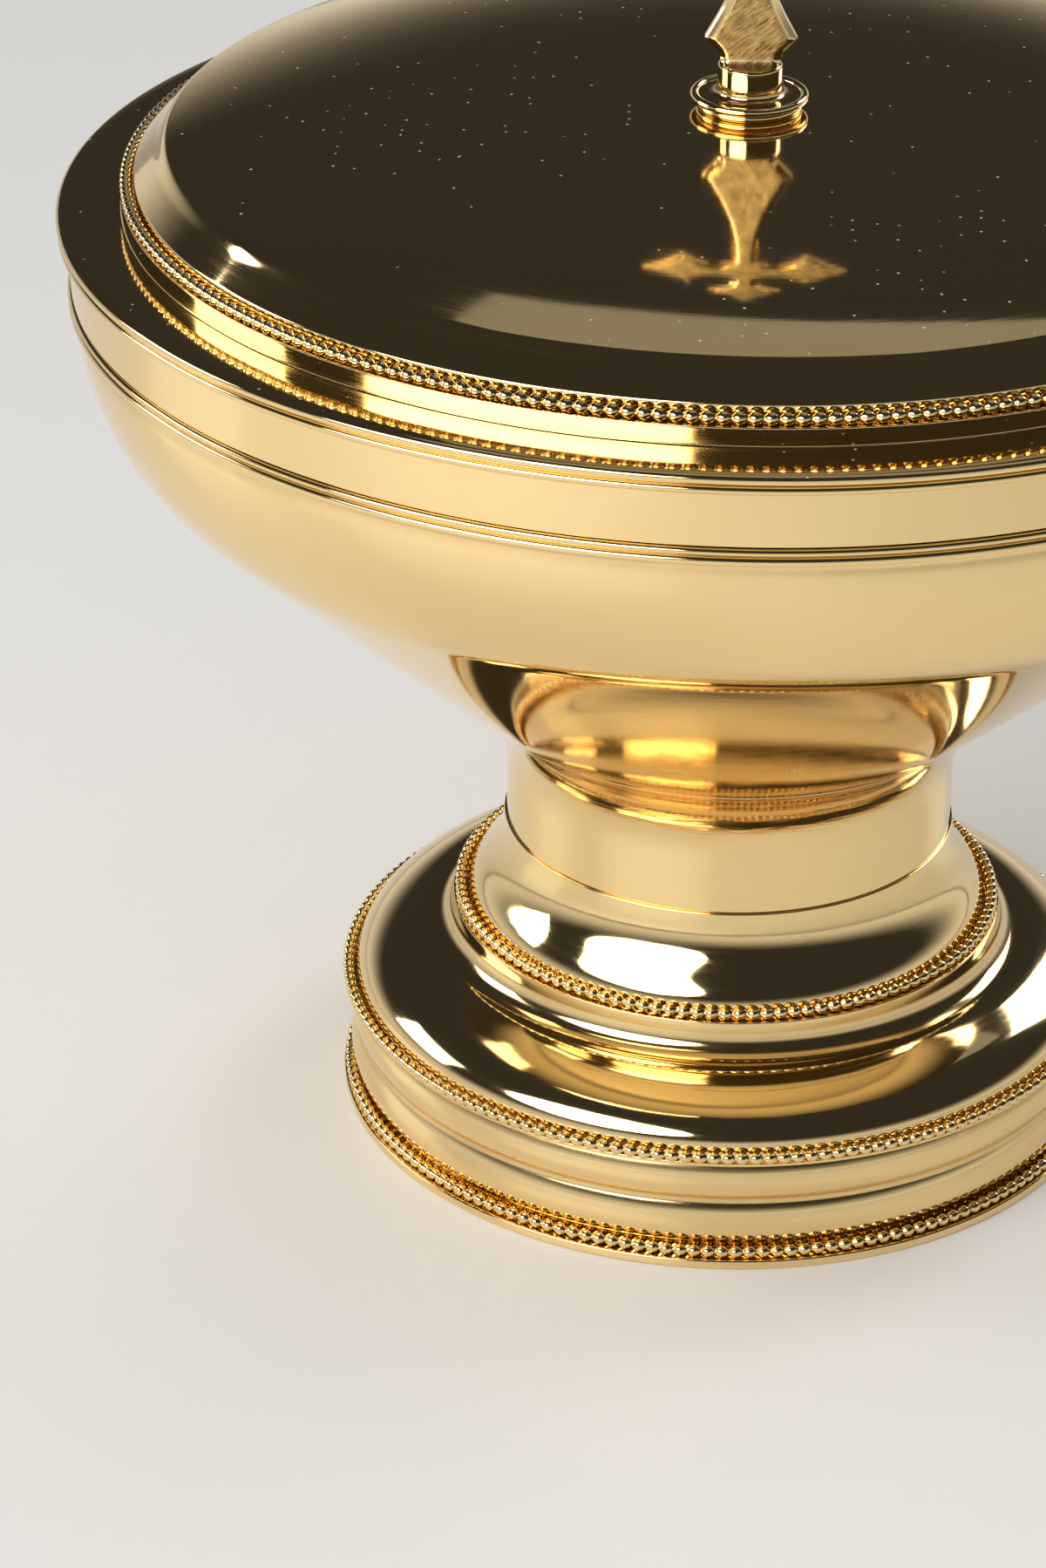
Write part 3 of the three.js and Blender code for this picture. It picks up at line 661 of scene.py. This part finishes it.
def moulding_outline(sizes):
    """Two half-round beads, one over the other."""
    crest, bottom, top = reach("bowl_moulding")
    inner = hull(sizes)[2] + sizes.solder / MM
    lower_share, depth, limit = 0.55, 0.6, 75
    between = bottom + (top - bottom) * lower_share
    beads = [half_round(crest, depth, low, high, limit, 10)
             for low, high in ((bottom, between), (between, top))]
    return stretch(np.vstack([[[inner, bottom]], *beads, [[inner, top]]]))


def rim_wire_outline(sizes):
    """A half-round wire round the rim."""
    crest, bottom, top = reach("bowl_rim_wire")
    inner, backing = reach("bowl_shell")[0] + sizes.solder / MM, 0.35
    nose = half_round(crest, crest - inner - backing, bottom, top, 85, 14)
    return stretch(np.vstack([[[inner, bottom]], nose, [[inner, top]]]))


def lid_outline(sizes):
    """A flat flange with a round edge, a step, a shoulder that leans in, a rolled edge and the low plateau.

    The plateau falls from the collar to its edge by the rise times a high power of the share of the way.
    """
    edge, bottom, top = reach("lid_shell")
    sheet = sizes.sheet / MM
    flange, step_inset, step_height, upright, drop, roll, rise, power = 1.14, 7.6, 2.23, 1.9, 2.3, 1.6, 2.8, 5.5
    flange_top = bottom + flange
    ledge = flange_top + step_height
    step = edge - step_inset
    skirt = reach("lid_bead_wire")[0] - BEAD - sizes.solder / MM
    plateau = skirt - drop
    plateau_edge = top - rise - roll / 2
    flat = reach("finial_collar")[0] + sizes.solder / MM
    nose = half_round(edge, flange / 2, bottom, flange_top, 86, 16)
    fall = rise * power / (plateau - roll - flat)
    start = np.array([plateau, plateau_edge - roll / 2])
    end = np.array([plateau - roll, plateau_edge + roll / 2])
    lean = start - [skirt, ledge + upright]
    rolled = curve(start, start + lean / np.hypot(*lean) * roll * 0.55,
                   end + roll * 0.25 * np.array([1, -fall]), end, 20)

    def low_dome(start, height, less):
        share = 1 - np.linspace(0, 1, 60) ** 1.5
        return np.column_stack([flat + (start - flat) * share, height - (rise - less) * share ** power])

    outer = np.vstack([
        nose, [[step, flange_top], [step, ledge], [skirt, ledge], [skirt, ledge + upright]], rolled,
        low_dome(plateau - roll, top, 0)[1:], [[CLEARANCE_M3, top]]])
    inner_ring = skirt - sheet
    inner = np.vstack([
        [[CLEARANCE_M3, top - sheet]], low_dome(plateau - roll - sheet / 2, top - sheet, rise * 0.1)[::-1],
        [[inner_ring - drop * 0.4, ledge], [inner_ring, bottom]]])
    return shell(outer, inner)


def ring_outline():
    """The locating ring under the lid, with a lead-in at its foot."""
    outer, bottom, top = reach("lid_locating_ring")
    wall, lead_width, lead_height = 1.0, 0.4, 1.1
    inner = outer - wall
    return stretch([[inner, bottom], [outer - lead_width, bottom], [outer, bottom + lead_height],
                    [outer, top], [inner, top]], SATIN)


def collar_outline():
    """Two beads, the lower one set in, then a flat channel and a hollow up to the neck."""
    crest, bottom, top = reach("finial_collar")
    neck, hole, bead, set_in, fillet = reach("finial_neck")[0], CLEARANCE_M3, 1.0, 0.7, 1.4
    half = bead / 2
    centre = crest - half
    channel = bottom + 1.65 * bead
    hollow = curve(
        [neck + fillet, channel], [neck + fillet * 0.3, channel], [neck, channel + 0.2], [neck, top], 12)
    return stretch(np.vstack([
        [[hole, bottom]], arc([centre - set_in, bottom + half], half, -90, 62, 14),
        arc([centre, bottom + 3 * half], half, -75, 162, 22), hollow, [[hole, top]]]))


def neck_outline():
    """A short polished drum with a rounded, closed top over the tapped hole for the stud."""
    outer, bottom, top = reach("finial_neck")
    hole, cap, shoulder = TAPPED_M3, 1.0, 0.4
    turn = arc([outer - shoulder, top - shoulder], shoulder, 0, 90, 10)
    return stretch(np.vstack([
        [[0, top - cap], [hole, top - cap], [hole, bottom], [outer, bottom]], turn, [[0, top]]]))


def bead_wire(name, node, material):
    """A beaded wire bent into a ring.

    Along the ring the wire's radius is that of a row of balls with a thin neck between them: the square
    root of the ball's radius squared less the distance from its middle squared, but never under the neck.
    """
    sizes = bpy.context.scene.ciborium_sizes
    outer, bottom, top = reach(node)
    ball = (top - bottom) / 2
    radius, middle = outer - ball, (top + bottom) / 2
    count = round(2 * math.pi * radius * MM / sizes.bead_pitch)
    steps, sides = 7, 8
    share = -np.cos(np.pi * np.arange(steps) / steps)
    thick = np.sqrt(np.maximum(1 - share ** 2, (sizes.bead_neck / MM / ball) ** 2)) * ball
    thick = np.tile(thick, count)
    turn = (np.arange(count)[:, None] + share / 2).ravel() * 2 * math.pi / count
    side = np.arange(sides)[:, None] * 2 * math.pi / sides
    points, faces, _ = revolve(radius + thick * np.cos(side), middle + thick * np.sin(side), True, turn)
    # Highest at the necks between the beads, where the gilding paints shade.
    hollow = np.tile(np.clip(1.25 - thick / ball * 1.3, 0, 1), sides)
    mesh_piece(name, node, points, faces, [material], hollow=hollow, crease=62)


def threaded_rod(name, node, pitch, material):
    """A rod with a screw thread: its radius falls and rises as a triangle wave of height less turn."""
    outer, bottom, top = reach(node)
    depth, chamfer, turns, steps = 0.54 * pitch, 0.6 * pitch, 48, 10
    heights = np.linspace(bottom, top, max(8, int((top - bottom) / pitch * steps)))
    turn = np.arange(turns) / turns
    wave = np.abs(((heights[:, None] / pitch - turn) % 1) * 2 - 1)
    near_end = np.clip(np.minimum(heights - bottom, top - heights) / chamfer, 0, 1)[:, None]
    radius = np.pad(outer - depth * np.maximum(wave, 1 - near_end), ((1, 1), (0, 0)))
    height = np.repeat(np.concatenate([[bottom], heights, [top]])[:, None], turns, axis=1)
    points, faces, _ = revolve(radius, height, False)
    mesh_piece(name, node, points, faces, [material], crease=50)


def hexagon_nut(name, node, flats, bore, material):
    """A hexagon nut: outside, the radius is half the flats over the cosine of the turn from the nearest flat.

    At both faces a cone of 30 degrees cuts the corners.
    """
    _, bottom, top = reach(node)
    turns = 96
    turn = np.arange(turns) * 2 * math.pi / turns
    off_flat = (turn % (math.pi / 3)) - math.pi / 6
    hexagon = flats / 2 / np.cos(off_flat)
    face, lead = flats / 2 * 0.97, 0.25
    cut = (hexagon - face) * math.tan(math.radians(30))
    rows = [(bore + lead, bottom), (face, bottom), (hexagon, bottom + cut), (hexagon, top - cut), (face, top),
            (bore + lead, top), (bore, top - lead), (bore, bottom + lead)]
    radius, height = (np.array([np.broadcast_to(row[i], turns) for row in rows]) for i in (0, 1))
    points, faces, _ = revolve(radius, height, True)
    mesh_piece(name, node, points, faces, [material], crease=20)


def value_noise(x, z, cell, seed):
    """Smooth noise over a plane: random values on a lattice, blended by smoothstep between its points."""
    lattice = np.random.default_rng(seed).random((128, 128))
    u, v = x / cell + 64, z / cell
    i, j = np.floor(u).astype(int), np.floor(v).astype(int)
    fu, fv = u - i, v - j
    fu, fv = fu * fu * (3 - 2 * fu), fv * fv * (3 - 2 * fv)
    i, j = i % 127, j % 127
    low = lattice[i, j] * (1 - fu) + lattice[i + 1, j] * fu
    high = lattice[i, j + 1] * (1 - fu) + lattice[i + 1, j + 1] * fu
    return low * (1 - fv) + high * fv


CROSS = {
    "half_root": 1.6, "corner": 1.8, "barb": 7.3, "half_barb": 4.6, "foot_barb": 3.1, "half_foot_barb": 5.3,
    "half_foot": 3.4, "bevel": 0.9, "drop": 0.8, "fillet": 0.9, "relief": 0.02, "columns": 41,
}


# Each of these gives places along an arm of the cross and the half widths there

def corner_rows():
    """Round the inner corner between two arms, as a circle's arc."""
    centre = CROSS["half_root"] + CROSS["corner"]
    return arc([centre, centre], CROSS["corner"], 225, 270, 8)


def arm_rows(tip):
    """A short arm: round the corner, out to a barb and on to a point."""
    root, barb, half = CROSS["half_root"], CROSS["barb"], CROSS["half_barb"]
    start = root + CROSS["corner"]
    span, beyond = barb - start, tip - barb
    out = curve(
        [start, root], [start + span * 0.5, root * 1.05], [start + span * 0.8, half * 0.62], [barb, half], 26)
    point = curve([barb, half], [barb + beyond * 0.14, half * 0.8], [barb + beyond * 0.5, half * 0.46],
                  [tip, 0.05], 26)
    return np.vstack([corner_rows(), out[1:], point[1:]])


def foot_rows(length_down):
    """The long arm: round the corner, down to the barbs and to the foot."""
    root, barb, half_barb, half_foot = (
        CROSS[key] for key in ("half_root", "foot_barb", "half_foot_barb", "half_foot"))
    start = root + CROSS["corner"]
    rise = length_down - start - barb
    down = curve([start, root], [length_down - barb - rise * 0.45, root * 0.94],
                 [length_down - barb - rise * 0.29, half_barb * 0.57], [length_down - barb, half_barb], 70)
    low = length_down - barb * 0.5
    flare = curve([length_down - barb, half_barb], [low, half_foot + (half_barb - half_foot) * 0.35],
                  [low, half_foot], [length_down, half_foot], 18)
    return np.vstack([corner_rows(), down[1:], flare[1:]])


def cast_cross(name, node, material):
    """The cross: four arms and a middle, all grids that share their border points and are then merged.

    Across an arm the places are the half width times the sine of an even step, so they crowd to the edges.
    The thickness falls over the bevel by the drop times the 1.6th power of what is left of the bevel at a
    place's distance from the outline. At the foot a quarter circle spreads it, as the solder does.
    """
    low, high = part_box(node)
    foot, top, tip, thick = low.z / MM, high.z / MM, high.x / MM, (high.y - low.y) / MM
    centre = top - tip
    even = np.sin(np.linspace(-math.pi / 2, math.pi / 2, CROSS["columns"]))
    middle = corner_rows()[0, 0]

    def place(rows, quarter):
        along = np.repeat(rows[:, 0:1], len(even), axis=1)
        offset = rows[:, 1:2] * even
        turn = quarter * math.pi / 2
        x = along * math.sin(turn) + offset * math.cos(turn)
        return x, centre + along * math.cos(turn) - offset * math.sin(turn)

    short, long = arm_rows(tip), foot_rows(centre - foot)
    arms = [place(rows, quarter) for quarter, rows in enumerate((short, short, long, short))]
    outline = np.vstack([np.column_stack([x[:, edge], z[:, edge]]) for x, z in arms for edge in (0, -1)])

    def depth(x, z):
        """Half the thickness at a place, and how much of the brushed skin is there."""
        gap = np.hypot(x[..., None] - outline[:, 0], z[..., None] - outline[:, 1]).min(-1)
        share = np.clip(gap / CROSS["bevel"], 0, 1)
        skin = np.clip((share - 0.7) / 0.3, 0, 1)
        relief = 0.65 * value_noise(x, z, 0.85, 3) + 0.35 * value_noise(x, z, 0.38, 7) - 1
        near_foot = np.clip(1 - (z - foot) / CROSS["fillet"], 0, 1)
        solder = CROSS["fillet"] * (1 - np.sqrt(1 - near_foot ** 2))
        return thick / 2 - CROSS["drop"] * (1 - share) ** 1.6 + CROSS["relief"] * relief * skin + solder, skin

    points, skins, faces = [], [], []

    def grid(x, z, y, skin, flip):
        start = sum(len(p) for p in points)
        rows, cols = x.shape
        points.append(np.stack([x, y, z], axis=-1).reshape(-1, 3))
        skins.append(np.broadcast_to(skin, x.shape).ravel())
        a = start + (np.arange(rows - 1)[:, None] * cols + np.arange(cols - 1)).ravel()
        quad = np.stack([a, a + 1, a + cols + 1, a + cols], axis=-1)
        faces.extend((quad[:, ::-1] if flip else quad).tolist())

    def front_and_back(x, z):
        half, skin = depth(x, z)
        grid(x, z, -half, skin, False)
        grid(x, z, half, skin, True)
        return half

    for x, z in arms:
        half = front_and_back(x, z)
        for edge, flip in (([0, 0], True), ([-1, -1], False)):
            grid(x[:, edge], z[:, edge], half[:, edge] * [-1, 1], 0, flip)
        grid(x[[-1, -1]], z[[-1, -1]], half[[-1, -1]] * [[-1], [1]], 0, False)
    front_and_back(*np.meshgrid(middle * even, centre + middle * even))
    piece = mesh_piece(name, node, np.vstack(points), faces, [material], crease=30)
    attribute = piece.data.attributes.new("skin", "FLOAT", "POINT")
    attribute.data.foreach_set("value", np.concatenate(skins).astype(np.float32))
    weld(piece, 0.004)


def weld(piece, distance):
    """Merges points less than a distance in millimetres apart and turns every face outwards."""
    mesh = bmesh.new()
    mesh.from_mesh(piece.data)
    bmesh.ops.remove_doubles(mesh, verts=mesh.verts, dist=distance * MM)
    bmesh.ops.dissolve_degenerate(mesh, edges=mesh.edges, dist=1e-7)
    bmesh.ops.recalc_face_normals(mesh, faces=mesh.faces)
    mesh.to_mesh(piece.data)
    mesh.free()
    piece.data.set_sharp_from_angle(angle=math.radians(30))


# Operators

class CIBORIUM_OT_foot(Operator):
    """Make the flange, the plinth, the dome and the crown of the foot"""
    bl_idname = "ciborium.foot"
    bl_label = "Foot"

    def execute(self, context):
        sizes = context.scene.ciborium_sizes
        flange_width = 6.5
        flange = band("base_flange", reach("base_flange")[0] - flange_width)
        lathe("flange_turned", "base_flange", flange, rounding=0.3)
        lathe("plinth_turned", "plinth", plinth_outline(sizes), longest=0.8)
        lathe("foot_dome_spun", "foot_dome", dome_outline(sizes), longest=0.8)
        lathe("foot_crown_spun", "foot_crown", crown_outline(sizes), longest=0.8)
        return {"FINISHED"}


class CIBORIUM_OT_bead_wires(Operator):
    """Make the four beaded wires"""
    bl_idname = "ciborium.bead_wires"
    bl_label = "Beaded wires"

    def execute(self, context):
        finish = context.scene.ciborium_finish
        # The beads take less painted shade at their necks than the other hollows.
        beads = gilt_material("Beaded gilding", finish.polish * 1.6, lines=0.1, hollow_shade=0.3)
        for place in ("base", "plinth", "crown", "lid"):
            bead_wire(f"{place}_beads", f"{place}_bead_wire", beads)
        return {"FINISHED"}


class CIBORIUM_OT_waist(Operator):
    """Make the waist between the foot and the bowl"""
    bl_idname = "ciborium.waist"
    bl_label = "Waist"

    def execute(self, context):
        sizes, finish = context.scene.ciborium_sizes, context.scene.ciborium_finish
        satin = gilt_pair()[1]
        lined = gilt_material("Lined gilding", finish.polish * 1.4, lines=0.7, spacing=1500.0, depth=0.00003)
        lathe("waist_turned", "stem", waist_outline(sizes), [lined, satin], longest=0.8)
        return {"FINISHED"}


class CIBORIUM_OT_bowl(Operator):
    """Make the bowl, its moulding and the wire round its rim"""
    bl_idname = "ciborium.bowl"
    bl_label = "Bowl"

    def execute(self, context):
        sizes = context.scene.ciborium_sizes
        lathe("bowl_spun", "bowl_shell", bowl_outline(sizes))
        lathe("moulding_turned", "bowl_moulding", moulding_outline(sizes), rounding=0.05)
        lathe("rim_wire_round", "bowl_rim_wire", rim_wire_outline(sizes), rounding=0.05)
        return {"FINISHED"}


class CIBORIUM_OT_lid(Operator):
    """Make the lid and its locating ring"""
    bl_idname = "ciborium.lid"
    bl_label = "Lid"

    def execute(self, context):
        sizes, finish = context.scene.ciborium_sizes, context.scene.ciborium_finish
        satin = gilt_pair()[1]
        dusty = gilt_material("Dusty gilding", finish.polish, dust=0.12)
        lathe("lid_spun", "lid_shell", lid_outline(sizes), [dusty, satin])
        lathe("locating_ring_turned", "lid_locating_ring", ring_outline())
        return {"FINISHED"}


class CIBORIUM_OT_finial(Operator):
    """Make the collar, the neck and the cast cross"""
    bl_idname = "ciborium.finial"
    bl_label = "Finial"

    def execute(self, context):
        lathe("collar_turned", "finial_collar", collar_outline(), longest=0.4, rounding=0.06)
        lathe("neck_turned", "finial_neck", neck_outline(), longest=0.5, rounding=0.06)
        cast_cross("cross_cast", "cross", cast_material("Cast gilding"))
        return {"FINISHED"}


class CIBORIUM_OT_fasteners(Operator):
    """Make the hidden rods, nuts, washers and boss"""
    bl_idname = "ciborium.fasteners"
    bl_label = "Fasteners"

    def execute(self, context):
        sizes, finish = context.scene.ciborium_sizes, context.scene.ciborium_finish
        zinc = metal_material("Zinc plated steel", finish.zinc, 0.3)
        brass = metal_material("Turned brass", finish.brass, 0.28)
        flats_m3, flats_m6 = 5.5, 10.0
        threaded_rod("tie_rod_threaded", "tie_rod", sizes.rod_pitch / MM, zinc)
        threaded_rod("stud_threaded", "finial_stud", sizes.stud_pitch / MM, zinc)
        hexagon_nut("foot_nut_hexagon", "foot_nut", flats_m6, TAPPED_M6, zinc)
        hexagon_nut("lid_nut_hexagon", "lid_nut", flats_m3, TAPPED_M3, brass)
        lathe("boss_turned", "bowl_boss", band("bowl_boss", TAPPED_M6), [brass])
        lathe("foot_washer_turned", "foot_washer", band("foot_washer", CLEARANCE_M6), [brass])
        lathe("lid_washer_turned", "lid_washer", band("lid_washer", CLEARANCE_M3), [brass])
        return {"FINISHED"}


def softbox(name, azimuth, elevation, distance, width, height, power, shape="RECTANGLE"):
    """A soft lamp that faces the object. From there it lies at an azimuth, 0 in front and 90 to the right."""
    data = bpy.data.lights.new(name, "AREA")
    data.shape, data.size, data.size_y, data.energy = shape, width, height, power
    lamp = new_object(name, data)
    side, up = math.radians(azimuth), math.radians(elevation)
    middle = Vector((0, 0, 0.06))
    away = Vector((math.sin(side) * math.cos(up), -math.cos(side) * math.cos(up), math.sin(up)))
    lamp.location = middle + away * distance
    lamp.rotation_euler = away.to_track_quat("Z", "Y").to_euler()
    lamp.visible_camera = False


def photo_camera():
    """The camera as fitted to the photograph: place, pitch, yaw and roll, and its lens on a 36 mm long side."""
    place = Matrix.Translation((0.0, -0.54083, 0.32421))
    pitch, yaw, roll = (math.radians(angle) for angle in (27.7513, -2.7033, 0.4627))
    focal, long_side, sensor = 5646.94, 1799, 36.0
    data = bpy.data.cameras.new("photo_camera")
    data.sensor_width, data.lens = sensor, focal / long_side * sensor
    data.clip_start, data.clip_end = 0.01, 50
    camera = new_object("photo_camera", data)
    tilt = Matrix.Rotation(math.pi / 2 - pitch, 4, "X")
    camera.matrix_world = place @ Matrix.Rotation(-yaw, 4, "Z") @ tilt @ Matrix.Rotation(roll, 4, "Z")
    bpy.context.scene.camera = camera


def studio_world(stage):
    """Plain surroundings: pale at eye level and darker overhead in mirrors, and even light on matt surfaces."""
    world = bpy.data.worlds.new("studio")
    world.use_nodes = True
    tree = world.node_tree
    where = add(tree, "TexCoord").outputs["Generated"]
    upward = add(tree, "SeparateXYZ", {0: where}).outputs[2]
    mirrored = add(tree, "MapRange", {
        0: upward, 1: 0.03, 2: 0.32, 3: stage.horizon, 4: stage.overhead}, interpolation_type="SMOOTHSTEP")
    matt = add(tree, "LightPath").outputs["Is Diffuse Ray"]
    strength = add(tree, "Mix", {0: matt, 2: mirrored.outputs[0], 3: stage.ambient})
    tree.links.new(strength.outputs[0], tree.nodes["Background"].inputs["Strength"])
    tree.nodes["Background"].inputs["Color"].default_value = WHITE
    bpy.context.scene.world = world


class CIBORIUM_OT_stage(Operator):
    """Make the floor, the lamps, the surroundings and the camera"""
    bl_idname = "ciborium.stage"
    bl_label = "Stage"

    def execute(self, context):
        stage = context.scene.ciborium_stage
        half = 15.0
        mesh = bpy.data.meshes.new("floor")
        corners = [(-half, -half, 0), (half, -half, 0), (half, half, 0), (-half, half, 0)]
        mesh.from_pydata(corners, [], [(0, 1, 2, 3)])
        floor = new_object("floor", mesh)
        material, _, shader = shader_tree("Pale floor")
        shader.inputs["Base Color"].default_value = (*stage.floor, 1)
        shader.inputs["Roughness"].default_value = stage.floor_roughness
        shader.inputs["Specular IOR Level"].default_value = stage.floor_shine
        mesh.materials.append(material)
        softbox("key_lamp", -38, 28.5, 0.85, 0.86, 0.42, stage.key_power, "ELLIPSE")
        softbox("side_lamp", -101, 20, 1.15, 0.5, 0.36, stage.side_power)
        softbox("back_lamp", 140, 29, 1.2, 0.5, 0.4, stage.back_power)
        softbox("top_lamp", 160, 70, 1.1, 1.0, 1.0, stage.top_power)
        studio_world(stage)
        photo_camera()
        context.scene.view_settings.view_transform = "Standard"
        return {"FINISHED"}


class CIBORIUM_PT_panel(Panel):
    """Lists the steps that make the ciborium"""
    bl_idname = "CIBORIUM_PT_panel"
    bl_label = "Ciborium"
    bl_space_type = "VIEW_3D"
    bl_region_type = "UI"
    bl_category = "Ciborium"

    def draw(self, context):
        for step in STEPS:
            self.layout.operator(step.bl_idname)
        for group in GROUPS:
            values = getattr(context.scene, group)
            for key in values.__annotations__:
                self.layout.prop(values, key)


STEPS = (
    CIBORIUM_OT_stage, CIBORIUM_OT_foot, CIBORIUM_OT_bead_wires, CIBORIUM_OT_waist, CIBORIUM_OT_bowl,
    CIBORIUM_OT_lid, CIBORIUM_OT_finial, CIBORIUM_OT_fasteners,
)
GROUPS = {"ciborium_sizes": CiboriumSizes, "ciborium_finish": CiboriumFinish, "ciborium_stage": CiboriumStage}
CLASSES = (*GROUPS.values(), *STEPS, CIBORIUM_PT_panel)


def register():
    for kind in CLASSES:
        bpy.utils.register_class(kind)
    for name, kind in GROUPS.items():
        setattr(bpy.types.Scene, name, PointerProperty(type=kind))


def unregister():
    for name in GROUPS:
        delattr(bpy.types.Scene, name)
    for kind in reversed(CLASSES):
        bpy.utils.unregister_class(kind)


def main():
    register()
    bpy.ops.ciborium.stage()
    bpy.ops.ciborium.foot()
    bpy.ops.ciborium.bead_wires()
    bpy.ops.ciborium.waist()
    bpy.ops.ciborium.bowl()
    bpy.ops.ciborium.lid()
    bpy.ops.ciborium.finial()
    bpy.ops.ciborium.fasteners()


if __name__ == "__main__":
    main()
